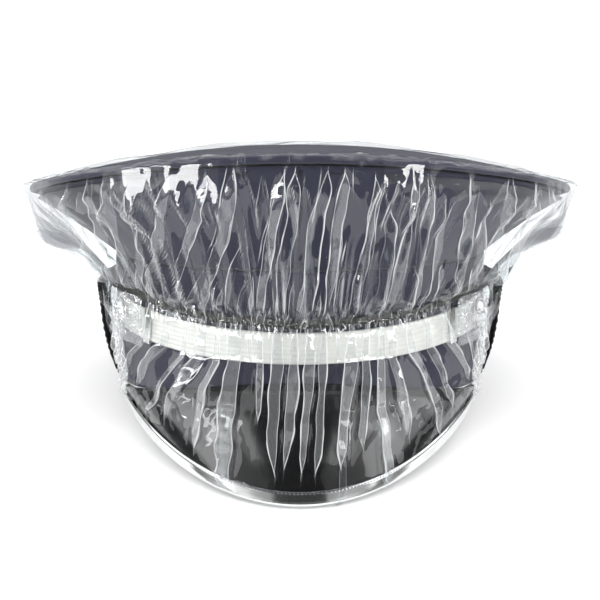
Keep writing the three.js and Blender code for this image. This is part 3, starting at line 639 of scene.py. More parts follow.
def dents(seed, count, low, high, depth):
    """Small dimples and bumps, longer than wide, strewn over a sheet whose coordinates are in mm."""
    draw = np.random.default_rng(seed)
    spots = [(draw.uniform(low[0], high[0]), draw.uniform(low[1], high[1]), draw.uniform(1.0, 2.4),
              draw.uniform(2.0, 5.0), draw.uniform(-0.5, 0.5), draw.uniform(-depth, depth)) for _ in range(count)]

    def field(x, y):
        total = np.zeros(np.broadcast(x, y).shape)
        for cx, cy, size, ratio, turn, deep in spots:
            u = ((x - cx) * math.cos(turn) + (y - cy) * math.sin(turn)) / size
            v = ((y - cy) * math.cos(turn) - (x - cx) * math.sin(turn)) / (size * ratio)
            total += deep * np.exp(-(u * u + v * v))
        return total
    return field


def pleat_path(p, rows):
    """Across one pleat: under it to the right, back to its round front edge, and on over the top. With it, how
    white each column may turn and how hazy it is."""
    fade = 1 - smooth(rows, p["apex"] - p["fade"], p["apex"])
    half = np.interp(rows, *p["half"]) * fade**0.7 * (1 + 0.1 * WIGGLE(rows, 50.0 + 9.1 * p["seed"]))
    size = np.clip(half / 2.0, 0, 1.2)
    swell = np.clip(1 + 0.6 * WIGGLE(1.4 * rows, 31.0 + 5.3 * p["seed"]), 0.45, 1.9)
    low, high, rise = 0.22 * size, p["bead"] * size * swell, 0.5 * size
    turn = np.linspace(0, math.pi, TURN_STEPS)
    path = [(half + low * math.sin(k), low * (1 - math.cos(k))) for k in turn]
    path += [(half * (1 - 2 * k), 2 * low + (rise - 2 * low) * k) for k in (0.25, 0.5, 0.75)]
    path += [(-half - high * math.sin(k), rise + high * (1 - math.cos(k))) for k in turn]
    spread = np.linspace(-0.9, 0.9, len(path))
    path = [(x * fade + even * (1 - fade), d * fade) for (x, d), even in zip(path, spread)]
    marks = [p["under"]] * TURN_STEPS + [1.0] * (3 + TURN_STEPS)
    haze = [fade * p["haze"] if TURN_STEPS - 2 <= k < TURN_STEPS + 5 else 0 * fade for k in range(len(path))]
    if p["hand"] < 0:
        path = [(-x, d) for x, d in reversed(path)]
        marks.reverse()
        haze.reverse()
    return path, half, marks, haze


def top_layer(distance, half, lift):
    """The top layer falls away from its edge over the pleat and settles on the sheet beyond it."""
    slope = 1 - 0.68 * np.clip(distance / np.maximum(2 * half, 0.01), 0, 1)
    return lift * slope * (1 - smooth(distance, 2 * half, 2 * half + 2.6))


def pleat_columns(pleats, rows, radius, spacing, ends):
    """The angle, the lift, the whitening and the haze of every column of a pleated sheet, at each row."""
    angles, lifts, marks, hazes = [], [], [], []
    last = (np.full_like(rows, ends[0]), np.zeros_like(rows), np.zeros_like(rows))
    for p in pleats + [None]:
        if p is None:
            made, half = [(np.full_like(rows, ends[1]), np.zeros_like(rows))], np.zeros_like(rows)
            white, haze = [1.0], [0 * rows]
        else:
            path, half, white, haze = pleat_path(p, rows)
            centre = np.radians(np.interp(rows, *p["line"])) + 0.2 * WIGGLE(rows, 13.7 * p["seed"]) / radius
            made = [(centre + x / radius, d) for x, d in path]
        width = (made[0][0] - last[0]) * radius
        steps = max(3, int(math.ceil(float(np.max(width)) / spacing(float(np.mean(last[0]))))))
        for k in np.arange(0 if p is pleats[0] else 1, steps) / steps:
            angles.append(last[0] + (made[0][0] - last[0]) * k)
            lifts.append(np.maximum(top_layer(width * k, last[2], last[1]),
                                    top_layer(width * (1 - k), half, made[0][1])))
            marks.append(1.0)
            hazes.append(0 * rows)
        marks += white
        hazes += haze
        angles += [angle for angle, _ in made]
        lifts += [lift for _, lift in made]
        last = (*made[-1], half)
    return np.array(angles), np.array(lifts), np.array(marks)[:, None], np.array(hazes)


def pleat(line, half, apex, hand, bead=0.42, fade=0.18, under=1.0, haze=0.14):
    """One pleat: its line as (row, degrees), its half width in mm as (row, width), where it runs out, the side
    its edge is on, and how white its lower turn and how hazy its middle layer is."""
    return {"line": tuple(zip(*line)), "half": tuple(zip(*half)), "apex": apex, "hand": hand,
            "bead": bead, "fade": fade, "under": under, "haze": haze, "seed": line[0][1] + 7.0 * apex}


def tape_lean(t, out):
    """How much further in the tape's lower edge is than its upper one: it turns to the front beside the peak."""
    beside = 1 - smooth(turn_of(t), 100.0, 128.0)
    return 1 + np.minimum(5.0, np.maximum(out - 1.8, 0)) * beside


# Crown film: its section at each angle, from the hem (row 0) to the rim (row 1)
def crown_hem(t):
    turn = turn_of(t)
    gather_height, gather_out = follow(GATHER_LINE, t)
    tape_height, tape_out = follow(TAPE_LINE, t)
    share = smooth(turn, 66.0, 77.0)
    return (gather_height * (1 - share) + (tape_height + 0.3) * share,
            gather_out * (1 - share) + (tape_out - 0.9 * (tape_lean(t, tape_out) - 1)) * share)


FILM_OUT = PIPING_RADIUS + 0.55
FILM_SLACK, FRONT_SLACK = 5.0, 2.8  # how far it hangs off the rim, at the ends and in front


def film_start(t):
    """Where the skirt leaves the rim, in degrees round its piping: over it in front, under it behind."""
    return 35.0 - 95.0 * smooth(np.abs(wrapped(t)), 1.6, 2.1)


def film_rim(t, degrees, out):
    """The film round the rim: close to it in the middle and behind, a loose bag beside it."""
    turn = np.abs(wrapped(t))
    bag = np.maximum(FILM_SLACK * np.sin(t) ** 2,
                     FRONT_SLACK * (0.65 + 0.35 * smooth(turn, 0.2, 0.36)) * (1 - smooth(turn, 1.4, 1.8)))
    return rim_wrap(t, degrees, out) + rim_outward(t) * (bag * (1 - smooth(degrees, 15.0, 85.0)))[..., None]


def skirt_point(t, s):
    """A point of the film's skirt: s is 0 at the hem and 1 at the rim."""
    start = film_rim(t, film_start(t), FILM_OUT)
    height, out = crown_hem(t)
    end = band_point(t, height, out)
    turn = turn_of(t)
    waist_height, waist_out = follow(WAIST_LINE, t)
    waist = band_point(t, waist_height, waist_out)
    drawn = smooth(turn, 66.0, 76.0) * (1 - smooth(turn, 92.0, 106.0))
    line = end + (start - end) * s[..., None]
    knee = 0.42
    bent = np.where((s < knee)[..., None], end + (waist - end) * (s / knee)[..., None],
                    waist + (start - waist) * ((s - knee) / (1 - knee))[..., None])
    return line + (bent - line) * drawn[..., None]


def sheet_normal(point, t, s, ds=0.02):
    along = point(t + 0.004, s) - point(t - 0.004, s)
    rise = point(t, np.minimum(s + ds, 1)) - point(t, np.maximum(s - ds, 0))
    return unit(np.cross(along, rise))


# The main folds at the front: (row, degrees) down the fold, half width, apex, side that its edge is on
CROWN_FOLDS = (
    (((0, -96), (0.5, -93), (1, -90)), 1.5, 1.00, -1),
    (((0, -87), (0.5, -84), (1, -79)), 1.6, 1.00, 1),
    (((0, -79.5), (0.35, -77.5), (1, -72)), 1.9, 1.00, 1),
    (((0, -69), (0.4, -62), (1, -51)), 2.0, 1.00, 1),
    (((0, -60), (0.4, -53.5), (1, -44.8)), 2.2, 1.00, 1),
    (((0, -52.5), (0.1, -51.7), (0.57, -45.1), (1, -40)), 2.4, 1.00, 1),
    (((0, -46.5), (0.4, -41.0), (1, -33)), 1.6, 0.93, -1),
    (((0, -41), (0.22, -38.9), (0.4, -35), (0.85, -26), (1, -24.5)), 2.6, 1.00, 1),
    (((0, -36), (0.07, -34.2), (0.41, -27), (0.64, -21.6), (0.88, -17.9), (1, -17.6)), 2.5, 1.00, -1),
    (((0, -28), (0.11, -25.2), (0.52, -16.7), (0.7, -14.4), (1, -11.8)), 2.7, 1.00, -1),
    (((0, -19.5), (0.3, -16.0), (0.7, -10.0)), 1.5, 0.55, 1),
    (((0, -10.8), (0.24, -8.7), (0.65, -5.1), (0.98, -2.4)), 2.1, 0.99, -1),
    (((0, -5.5), (0.4, -3.2), (0.69, -1.3), (1, -0.8)), 2.6, 0.99, 1),
    (((0, 1.2), (0.29, 2.4), (0.55, 3.0), (0.83, 4.9), (0.98, 5.5)), 2.9, 0.99, -1),
    (((0, 6.4), (0.15, 6.8), (0.5, 8.0), (0.82, 8.5), (1, 8.3)), 2.6, 0.99, 1),
    (((0, 13.6), (0.5, 15.0), (0.8, 15), (0.99, 13.7)), 2.3, 0.97, 1),
    (((0, 17.6), (0.19, 20.0), (0.42, 20.0), (0.66, 18.9)), 2.2, 0.76, -1),
    (((0, 23.5), (0.26, 24.0), (0.57, 23.6), (0.96, 21.5)), 2.2, 0.98, 1),
    (((0, 30.3), (0.15, 29.4), (0.57, 27.2), (0.93, 25.2)), 2.4, 0.97, -1),
    (((0, 36.0), (0.18, 35.2), (0.7, 31.6)), 1.8, 0.80, 1),
    (((0, 44), (0.3, 41.5), (0.63, 38.6), (0.94, 34.2)), 2.5, 0.99, 1),
    (((0, 50.5), (0.3, 47.6), (0.9, 40.4)), 1.7, 0.86, -1),
    (((0, 57.5), (0.11, 56.7), (0.28, 53.5), (0.94, 45.5)), 2.6, 1.00, -1),
    (((0, 65), (0.4, 61), (1, 52)), 2.0, 1.00, 1),
    (((0, 73), (0.4, 67), (1, 58)), 1.9, 1.00, -1),
    (((0, 81), (0.4, 77), (1, 69)), 1.8, 1.00, -1),
    (((0, 88), (0.5, 85), (1, 80)), 1.6, 1.00, -1),
    (((0, 97), (0.5, 94), (1, 92)), 1.5, 1.00, 1),
)


def crown_pleats():
    made = [pleat(line, ((0, 0.6 * half), (0.3, half), (1, 0.8 * half)), apex, hand,
                  bead=0.42 + 0.26 * smooth(abs(line[0][1]), 57.0, 68.0),
                  under=1.0 if -11 < line[0][1] < 14 else rng.uniform(0.05, 0.45), haze=rng.uniform(0.0, 0.06))
            for line, half, apex, hand in CROWN_FOLDS]
    # short pleats at the gather, between the main folds
    rows = np.linspace(0, 1, 9)
    lines = [np.interp(rows, *zip(*line)) for line, *_ in CROWN_FOLDS]
    for left, right in zip(lines, lines[1:]):
        for share in ((0.5,) if right[0] - left[0] < 6.5 else (0.36, 0.68)):
            between = left + (right - left) * (share + rng.uniform(-0.05, 0.05))
            made.append(pleat(tuple(zip(rows, between)), ((0, rng.uniform(0.6, 0.9)), (1, rng.uniform(0.8, 1.3))),
                              rng.uniform(0.14, 0.42), rng.choice([-1, 1]), 0.4, 0.1, rng.uniform(0, 0.6), 0.06))
    at = 104.0
    while at < 256.0:
        side = at < 112 or at > 248
        half = rng.uniform(1.0, 1.9) if side else rng.uniform(1.2, 2.6)
        apex = rng.uniform(0.85, 1.0) if side else rng.uniform(0.45, 0.98)
        drift = rng.uniform(-2.0, 2.0)
        where = at if at < 180 else at - 360
        made.append(pleat(((0, where), (1, where + drift)), ((0, 0.6 * half), (0.3, half), (1, 0.8 * half)),
                          apex, rng.choice([-1, 1]), under=rng.uniform(0, 0.6), haze=0.08))
        at += rng.uniform(4.6, 8.4)
    made.sort(key=lambda p: p["line"][1][0])
    return made


PUFF_FACES = 10.3  # degrees above level that the film faces where it puffs out under the rim
RIM_GLARES = ((-34.5, 6.0), (-20.5, 7.5), (20.5, 6.5))  # where it puffs out most: (middle, half width) in degrees
RIM_ROW_END = 85.0


def build_crown_film():
    skirt = np.concatenate([np.linspace(0, 0.14, 11)[:-1], np.linspace(0.14, 1.0, 36)])
    angles, lifts, marks, haze = pleat_columns(crown_pleats(), skirt, 106.0 + 24.0 * skirt,
                                               lambda t: 0.5 if abs(t) < 1.35 else 1.3, (-math.pi, math.pi))
    s = np.broadcast_to(skirt, angles.shape)
    base = skirt_point(angles, s)
    normal = sheet_normal(skirt_point, angles, s)
    x, turn = angles * 112.0, np.abs(angles)
    tall = waves(11, 16, 13.0, 34.0)(x, s * 8.0)
    broad = waves(15, 10, 30.0, 70.0)(x, s * 60.0)
    fine = waves(12, 24, 3.5, 9.0)(x, s * 5.0)
    dent = dents(18, 46, (-112.0, 8.0), (112.0, 62.0), 0.5)(x, s * 72.0)
    ruffle = waves(16, 10, 2.0, 3.4)(x, s * 1.5)
    hold = smooth(s, 0.0, 0.1) * (1 - smooth(s, 0.72, 0.88))
    front = 1 - smooth(turn, 1.2, 1.5)
    # the film blouses over the gather and hangs back from there, more in some panels than in others
    much = np.maximum(3.2 + 2.4 * waves(19, 14, 6.0, 17.0)(x, s * 2.0), 0)
    blouse = much * smooth(s, 0.0, 0.13) * (1 - np.clip((s - 0.13) / 0.62, 0, 1)) * front
    # under the rim it puffs out until it faces the lights, and glares there
    crest = 0.8 + 0.042 * waves(63, 12, 4.0, 13.0)(x, 0.0)
    near = np.where(s > crest, (1 - s) / (1 - crest), np.exp(-((s - crest) / 0.13) ** 2))
    shine = 0.42 + 0 * x
    for middle, half in RIM_GLARES:
        shine += 0.58 * (1 - smooth(np.abs(np.degrees(angles) - middle), 0.7 * half, 1.1 * half))
    faces = np.arcsin(normal[..., 2] * math.cos(LEAN) - normal[..., 1] * math.sin(LEAN))
    length = np.linalg.norm(skirt_point(angles, 1.0 + 0 * s) - skirt_point(angles, 0 * s), axis=-1)
    puff = (near * shine * np.tan(np.radians(PUFF_FACES) - faces) * (1 - crest) * length
            * (1 + 0.1 * waves(17, 12, 8.0, 40.0)(x, s * 20.0)) * (1 - smooth(turn, 1.2, 1.7)))
    uneven = 0.06 * waves(66, 20, 5.0, 13.0)(x, s * 72.0) * smooth(s, 0.74, 0.86) * (1 - smooth(s, 0.95, 1.0))
    # beside the crown it hangs as a loose bag, slim at the tips, and at the waist it is drawn smooth
    end = smooth(turn, 0.85, 1.25) * (1 - smooth(turn, 1.8, 2.1))
    slim = 1 - 0.8 * smooth(turn, 1.0, 1.25)
    bag = 5.0 * slim * np.exp(-((s - 0.8) / 0.17) ** 2) * end * (1 - smooth(s, 0.93, 1.0))
    waist = smooth(turn, 1.1, 1.25) * (1 - smooth(turn, 1.9, 2.1)) * (1 - smooth(s, 0.35, 0.5))
    gathered = np.exp(-((s - 0.045) / 0.05) ** 2) * (0.35 + 0.65 * front)
    lift = (lifts * (1 - 0.7 * waist) * (0.35 + 0.65 * smooth(s, 0.0, 0.06)) * (1 - smooth(s, 0.9, 1.02))
            + (0.8 * tall + 0.35 * broad + 0.08 * fine + dent * front) * hold + blouse + 0.6 * ruffle * gathered
            + puff + uneven + bag)
    rows = [base + normal * lift[..., None]]
    # over the rim and on to the edge of the top
    column = angles[:, -1]
    crinkle = waves(13, 20, 6.0, 18.0)
    start = film_start(column)
    for k, share in enumerate((0.25, 0.45, 0.65, 0.83, 1.0)):
        loose = FILM_OUT + 0.3 + 0.3 * crinkle(column * 130.0, k * 3.0)
        rows.append(film_rim(column, start + (RIM_ROW_END - start) * share, loose)[:, None])
    for share in (0.955, 0.935):
        rows.append((top_point(column, share) + 0.3 * UP)[:, None])
    points = np.concatenate(rows, 1)
    strength, hazy = np.full(points.shape[:2], 0.3), np.zeros(points.shape[:2])
    strength[:, :len(skirt)] = (0.15 + 0.85 * smooth(s, 0.03, 0.16)) * marks * (1 - 0.9 * waist)
    # beside the crown the film gets a grey haze (the last argument below): painted shade and dark reflection that
    # make the loose bag show grey
    hazy[:, :len(skirt)] = np.maximum(haze, 0.42 * end * smooth(s, 0.3, 0.5))
    hazy[:, len(skirt):] = 0.25 * end[:, -1:]
    return film_piece("crown_cover_film", points, ["crown_cover"], strength, hazy, end[:, -1:]), points


def build_top_film():
    """The film over the top: it lies on the cloth with soft wrinkles and the creases of its packing."""
    t, share = grid(-math.pi, math.pi, 421, np.linspace(0.004, 0.958, 64)[::-1])
    base = top_point(t, share)
    x, y = base[..., 0], base[..., 1]
    inside = 1 - smooth(share, 0.86, 0.95)
    lift = 0.55 + 0.45 * (1 + waves(14, 14, 24.0, 70.0)(x, y)) * inside
    lift += 0.3 * np.abs(waves(65, 10, 26.0, 60.0)(x * 0.35, y)) * inside
    for slope, middle, high in ((0.04, 22.0, 0.5), (-0.05, -41.0, 0.4), (0.02, 78.0, 0.35)):
        lift += high * np.exp(-np.abs(y - slope * x - middle) / 2.6) * inside
    lift += 0.5 * np.exp(-np.abs(x + 0.06 * y - 4.0) / 2.6) * inside
    points = base + lift[..., None] * UP
    return film_piece("crown_cover_top_film", points, (), 0.35), points


def peak_film_point(t, s):
    """The peak film: s is 0 at the gather, then down the strap and over the peak to its rim at 1."""
    gather_height, gather_out = follow(GATHER_LINE, t)
    turn = np.degrees(np.abs(t))
    button = smooth(turn, 50, 60) - 0.75 * smooth(turn, 65, 68)
    top = band_point(t, gather_height - 1.0, np.maximum(gather_out, 3.6))
    strap_top = band_point(t, strap_centre(t) + STRAP_HEIGHT / 2, 3.8 + 7.0 * button)
    strap_low = band_point(t, strap_centre(t) - STRAP_HEIGHT / 2, 3.8 + 2.0 * button)
    count = 8
    over = [peak_point(t, share) + peak_frame(t, share)[1] * (SHELL_TOP + 1.6)
            for share in np.linspace(0.3, 1.0, count)]
    # towards the sides it lies less on the peak and spans from the strap to the rim
    span = 0.75 * smooth(turn, 13, 35)[..., None]
    for k, share in enumerate(np.linspace(0.32, 1.0, count)):
        over[k] = over[k] + (strap_low + (over[-1] - strap_low) * share - over[k]) * span
    bend = 0.12
    stations = np.stack([top, strap_top, strap_low + (strap_top - strap_low) * bend,
                         strap_low + (over[0] - strap_low) * bend, *over], -2)
    stops = np.array([0.0, 0.06, 0.28 - 0.22 * bend, 0.28 + 0.22 * bend, *np.linspace(0.5, 1.0, count)])
    row = np.clip(np.searchsorted(stops, s, side="right") - 1, 0, len(stops) - 2)

    def take(i):
        return np.take_along_axis(stations, np.clip(i, 0, len(stops) - 1)[..., None, None], -2)[..., 0, :]

    def stop(i):
        return stops[np.clip(i, 0, len(stops) - 1)][..., None]

    width = stop(row + 1) - stop(row)
    a, b, c, d = take(row - 1), take(row), take(row + 1), take(row + 2)
    leave = (c - a) / (stop(row + 1) - stop(row - 1)) * width
    arrive = (d - b) / (stop(row + 2) - stop(row)) * width
    return hermite((s[..., None] - stop(row)) / width, b, leave, c, arrive)


HEM_BACK = 9  # how far behind the peak's tip its hem elastic runs

# Folds of the peak film: (row, degrees) down the fold, (row, half width in mm), apex, edge side
PEAK_FOLDS = (
    (((0, -57), (0.3, -59), (0.6, -61)), ((0, 1.2), (1, 1.6)), 0.70, 1),
    (((0, -46), (0.24, -47.5), (0.41, -55.0), (0.6, -57)), ((0, 1.4), (1, 1.8)), 0.62, 1),
    (((0, -38), (0.24, -40.5), (0.41, -47.5), (0.7, -50)), ((0, 1.5), (0.3, 2.4), (1, 2.0)), 0.72, 1),
    (((0, -32), (0.3, -34.0), (0.5, -40.0), (0.8, -43)), ((0, 1.0), (0.4, 1.8), (1, 1.8)), 0.90, -1),
    (((0, -27), (0.26, -27.9), (0.38, -31), (0.48, -33.6), (0.7, -36)),
     ((0, 1.2), (0.3, 2.4), (1, 2.0)), 0.86, 1),
    (((0, -22.5), (0.3, -23.0), (0.44, -26.2), (0.56, -25.6), (1, -25)),
     ((0, 0.8), (0.4, 2.0), (1, 1.6)), 0.92, -1),
    (((0, -17.5), (0.28, -17.8), (0.5, -18.3), (0.74, -17.6), (1, -17)),
     ((0, 2.0), (0.28, 3.6), (1, 3.2)), 1.10, 1),
    (((0, -13.6), (0.3, -13.4)), ((0, 0.7), (1, 0.8)), 0.34, -1),
    (((0, -10.6), (0.29, -10.6), (0.6, -10)), ((0, 0.9), (0.28, 1.6), (1, 1.2)), 0.66, -1),
    (((0, -6), (0.28, -6), (0.47, -6.35), (0.65, -6.5), (0.88, -5.4)),
     ((0, 1.2), (0.28, 3.0), (0.47, 2.5), (0.65, 1.9), (0.9, 0.9)), 0.95, 1),
    (((0, -1.5), (0.28, -1.5), (0.48, -2.2), (0.85, -3.4)),
     ((0, 1.0), (0.28, 2.2), (0.48, 2.3), (0.85, 1.0)), 0.92, -1),
    (((0, 2.9), (0.29, 2.65), (0.46, 1.7), (0.87, 0.2)),
     ((0, 1.2), (0.28, 2.5), (0.46, 1.8), (0.87, 0.9)), 0.94, 1),
    (((0, 6.3), (0.28, 6.2), (0.41, 5.6), (0.63, 4.6), (0.85, 3.3)),
     ((0, 0.8), (0.28, 1.7), (1, 1.2)), 0.94, -1),
    (((0, 10.0), (0.3, 9.6)), ((0, 0.7), (1, 0.8)), 0.36, 1),
    (((0, 14), (0.29, 13.7), (0.5, 11.2), (0.64, 9.9), (0.85, 8.8)),
     ((0, 1.1), (0.28, 2.8), (0.5, 2.2), (1, 1.8)), 0.92, 1),
    (((0, 18.6), (0.36, 17.5), (0.68, 14.5), (1, 14)), ((0, 0.8), (0.4, 1.7), (1, 1.5)), 0.84, -1),
    (((0, 22.5), (0.28, 22.2), (0.56, 20.2), (0.68, 20.4), (1, 20)), ((0, 0.9), (0.3, 2.0), (1, 2.2)), 1.10, 1),
    (((0, 25.6), (0.28, 25.8), (0.41, 27.0), (0.7, 26.6)), ((0, 0.8), (0.35, 2.2), (1, 1.8)), 0.86, -1),
    (((0, 30), (0.26, 32), (0.38, 34.8), (0.54, 36.4), (0.8, 36.6)), ((0, 0.9), (0.3, 2.2), (1, 2.0)), 0.97, 1),
    (((0, 36), (0.26, 38.3), (0.43, 41.6), (0.7, 42.6)), ((0, 0.8), (0.3, 1.9), (1, 1.6)), 0.84, -1),
    (((0, 43), (0.25, 45.4), (0.36, 49.0), (0.5, 53)), ((0, 1.0), (0.3, 2.2), (1, 1.8)), 0.70, -1),
    (((0, 52), (0.3, 55), (0.6, 59)), ((0, 1.2), (1, 1.6)), 0.66, 1),
)


def build_peak_film():
    rows_down = np.concatenate([np.linspace(0, 0.25, 13)[:-1], np.linspace(0.25, 0.31, 8)[:-1],
                                np.linspace(0.31, 1, 36)])
    pleats = [pleat(*fold, bead=0.36, under=1.0 if abs(fold[0][0][1]) < 19 else rng.uniform(0.1, 0.7),
                    haze=rng.uniform(0.1, 0.2)) for fold in PEAK_FOLDS]
    radius = 104.0 + 14.0 * smooth(rows_down, 0.3, 1.0)
    angles, lifts, marks, haze = pleat_columns(pleats, rows_down, radius, lambda t: 0.55,
                                               (-PEAK_HALF_ANGLE, PEAK_HALF_ANGLE))
    angles = np.clip(angles, -PEAK_HALF_ANGLE, PEAK_HALF_ANGLE)
    s = np.broadcast_to(rows_down, angles.shape)
    base = peak_film_point(angles, s)
    normal = sheet_normal(peak_film_point, angles, s) * -1.0
    x = angles * 108.0
    tall = waves(21, 14, 12.0, 30.0)(x, s * 40.0)
    broad = waves(23, 8, 25.0, 60.0)(x, s * 70.0)
    fine = waves(22, 24, 4.0, 10.0)(x, s * 70.0)
    ruffle = waves(26, 10, 2.2, 4.0)(x, s * 8.0)
    dent = dents(28, 48, (-120.0, 36.0), (120.0, 66.0), 0.9)(x, s * 70.0)
    # it is calm in front and below the strap, and crumpled over the peak's sides
    aside = smooth(np.abs(angles), 0.3, 0.8) * (0.05 + 0.95 * smooth(s, 0.46, 0.64))
    hold = smooth(s, 0.0, 0.1) * (1 - smooth(s, 0.92, 1.0))
    lift = (lifts * (0.5 + 0.5 * smooth(s, 0.0, 0.08)) * (1 - smooth(s, 0.95, 1.0))
            + (0.7 + (0.12 + 0.2 * aside) * tall + (0.08 + 0.6 * aside) * broad + (0.02 + 0.1 * aside) * fine
               + dent * aside) * hold + 0.12 * ruffle * np.exp(-((s - 0.02) / 0.06) ** 2))
    rows = [base + normal * lift[..., None]]
    # round the rim, and back under the peak to the hem
    column = angles[:, -1]
    out, normal = peak_frame(column, 1.0)
    rim = peak_point(column, 1.0)
    crinkle = waves(24, 16, 4.0, 12.0)
    for k, (distance, lift) in enumerate(((1.5, 1.2), (1.9, 0.0), (1.7, -1.2), (0.6, -2.1), (-1.5, -2.3))):
        loose = 1 + 0.12 * crinkle(column * 110.0, 2.0 * k)[:, None]
        rows.append((rim + out * distance * loose + normal * lift)[:, None])
    tuck = HEM_BACK * peak_lean(column) + 0.3
    rows.append((rim - out * tuck[:, None] - normal * 2.3)[:, None])
    points = np.concatenate(rows, 1)
    strength, hazy = np.ones(points.shape[:2]), np.zeros(points.shape[:2])
    strength[:, :len(rows_down)], hazy[:, :len(rows_down)] = marks, haze
    return film_piece("peak_cover_film", points, ["peak_cover"], strength, hazy), points


crown_film, crown_film_points = build_crown_film()
top_film, top_film_points = build_top_film()
peak_film, peak_film_points = build_peak_film()


# Elastics, hem tape and frill
def tube(name, centre, out, up, wide, high, material, node, slot):
    """A ruched elastic: an oval tube whose width swells between its gathers."""
    turn = np.linspace(0, 2 * math.pi, 13)[:-1]
    points = (centre[:, None] + out[:, None] * (wide[:, None] * np.cos(turn))[..., None]
              + up[:, None] * (high[:, None] * np.sin(turn))[..., None])
    solid(name, points, material, node, slot, body="rain_cover", ring=True)


def ruched(t, radius, length, drift):
    """Gathers of about this length in mm, as a share from 0 to 1."""
    return 0.5 + 0.5 * np.sin(t * radius * 2 * math.pi / length + 2 * np.sin(t * drift))


def build_elastics():
    t = np.linspace(-PEAK_HALF_ANGLE, PEAK_HALF_ANGLE, 900)
    height, out = follow(GATHER_LINE, t)
    ruche = ruched(t, 108, 1.9, 31)
    # the gather elastic is black: partly the elastic's own colour, partly painted shade that darkens the strip under
    # the frill where the gather lies in shadow
    tube("gather_elastic_cord", band_point(t, height - 0.2, out + 1.5), band_normal(t), np.tile(UP, (len(t), 1)),
         0.3 + 0.2 * ruche, 1.7 + 0.35 * ruche, TAPE, "gather_elastic", "black_elastic")
    t = np.linspace(-math.radians(52.5), math.radians(52.5), 700)
    outward, normal = peak_frame(t, 0.98)
    ruche = ruched(t, 110, 2.1, 27)
    centre = peak_rim(t, -(HEM_BACK * peak_lean(t) + 1.2), UNDERLAY_BOTTOM - 1.95)
    tube("peak_hem_cord", centre, outward, normal, 0.42 + 0.18 * ruche, 0.42 + 0.18 * ruche, ELASTIC,
         "peak_hem_elastic", "white_elastic")
    t, h = grid(math.radians(75), math.radians(285), 900, np.linspace(0, 1, 15))
    height, out = follow(TAPE_LINE, t)
    ripple = 0.22 * np.sin(t * 108 * 2 * math.pi / 4.2 + 1.7 * np.sin(t * 23)) * (0.3 + 0.7 * np.abs(2 * h - 1))
    ribs = 0.07 * np.cos(h * 2 * math.pi * 5)
    lean = tape_lean(t, out)
    level = height - np.sqrt(TAPE_WIDTH**2 - lean**2) * h
    face = band_point(t, level, out - lean * h + 0.72 + ripple + ribs)
    back = band_point(t, level, out - lean * h + 0.05 + ripple)
    solid("hem_tape_elastic", shell_points(face, back), TAPE, "hem_tape", "black_elastic", body="rain_cover",
          ring=True)


def build_frill():
    """The film's own edge at the gather: ruffles that flare over the strap's top and stand up above it."""
    v = np.concatenate([np.linspace(-1, -0.05, 6), np.linspace(0, 1, 8)])
    t, v = grid(-math.radians(47), math.radians(47), 1500, v)
    height, out = follow(GATHER_LINE, t)
    x = t * 108
    ruffle = waves(51, 12, 1.7, 3.2)(x, 0.0)
    curl = waves(52, 12, 2.5, 6.0)(x, 2.0 * v)
    edge = 1 + 0.25 * waves(53, 10, 3.0, 9.0)(x, 0.0)
    comb = 0.85 * smooth(waves(54, 12, 1.5, 4.0)(x, 0.0), 0.0, 0.9)
    flare = np.abs(v) ** 0.8
    rise = np.where(v < 0, -3.4 * v * edge, -3.2 * v * edge)
    level = height - 0.6 + rise + 0.35 * curl * flare
    stand = 5.3 + 0.3 * flare + 0.7 * ruffle * flare + np.where(v < 0, 0.6, 0.1) * flare
    points = band_point(t, level, np.maximum(stand, 3.9) + 0.25 * curl * flare)
    points += rim_along(t) * (0.85 * curl * flare)[..., None]
    return film_piece("gather_frill_film", points, ["gather_frill"], comb), points


def build_bunch(side, sign):
    """Film bunched up at the strap's end: two crumpled layers over the button, one down the peak's side."""
    layers = []
    for k in range(2):
        t, v = grid(0, 1, 60, np.linspace(0, 1, 70))
        angle = sign * np.radians(50 + 15.5 * t)
        height, _ = follow(GATHER_LINE, angle)
        top = height - 1.0
        low = strap_centre(angle) - 10.0
        x, y, turn = t * 28 + 40 * k, v * 30, np.degrees(np.abs(angle))
        crush = np.abs(waves(61 + k, 14, 5.0, 12.0)(x, y * 0.6))
        crush += 0.25 * np.abs(waves(64 + k, 16, 2.6, 5.0)(x, y))
        fade = np.sin(np.clip(t, 0, 1) * math.pi) ** 0.5 * np.sin(np.clip(v, 0.03, 0.97) * math.pi) ** 0.4
        button, tail = smooth(turn, 50, 58), smooth(turn, 60.5, 65.5)
        stand = 4.6 + 3.6 * (button - 0.95 * tail) + (0.4 + 1.2 * crush * (1 - 0.6 * tail) + 0.5 * k) * fade
        stand = stand - 2.2 * button * smooth(v, 0.7, 1.0)
        layers.append(band_point(angle, top + (low - top) * v, stand))
    # and on down the side of the peak, to its corner
    t, v = grid(0, 1, 44, np.linspace(0, 1, 80))
    angle = sign * np.radians(59.5 + 6.0 * t + 1.5 * (1 - v) * (t - 1) - 4.5 * smooth(v, 0.05, 0.6))
    row = 0.24 + 0.66 * v
    x, y = t * 20 + 90, v * 34
    crush = np.abs(waves(67, 12, 3.0, 7.0)(x, y * 0.35)) + 0.4 * np.abs(waves(68, 12, 2.0, 4.0)(x, y * 0.5))
    normal = sheet_normal(peak_film_point, angle, row) * -1.0
    layers.append(peak_film_point(angle, row) + normal * (0.9 + 1.3 * crush * np.sin(v * math.pi) ** 0.5)[..., None])
    made = []
    for k, points in enumerate(layers):
        name = f"peak_cover_bunch_{side}_{k + 1}"
        made.append(film_piece(name, points, (), 1.0 if k == 2 else 0.6, 0.42 if k == 2 else 0.14))
    return made, layers


build_elastics()
frill, frill_points = build_frill()
bunches = [build_bunch("left", -1), build_bunch("right", 1)]


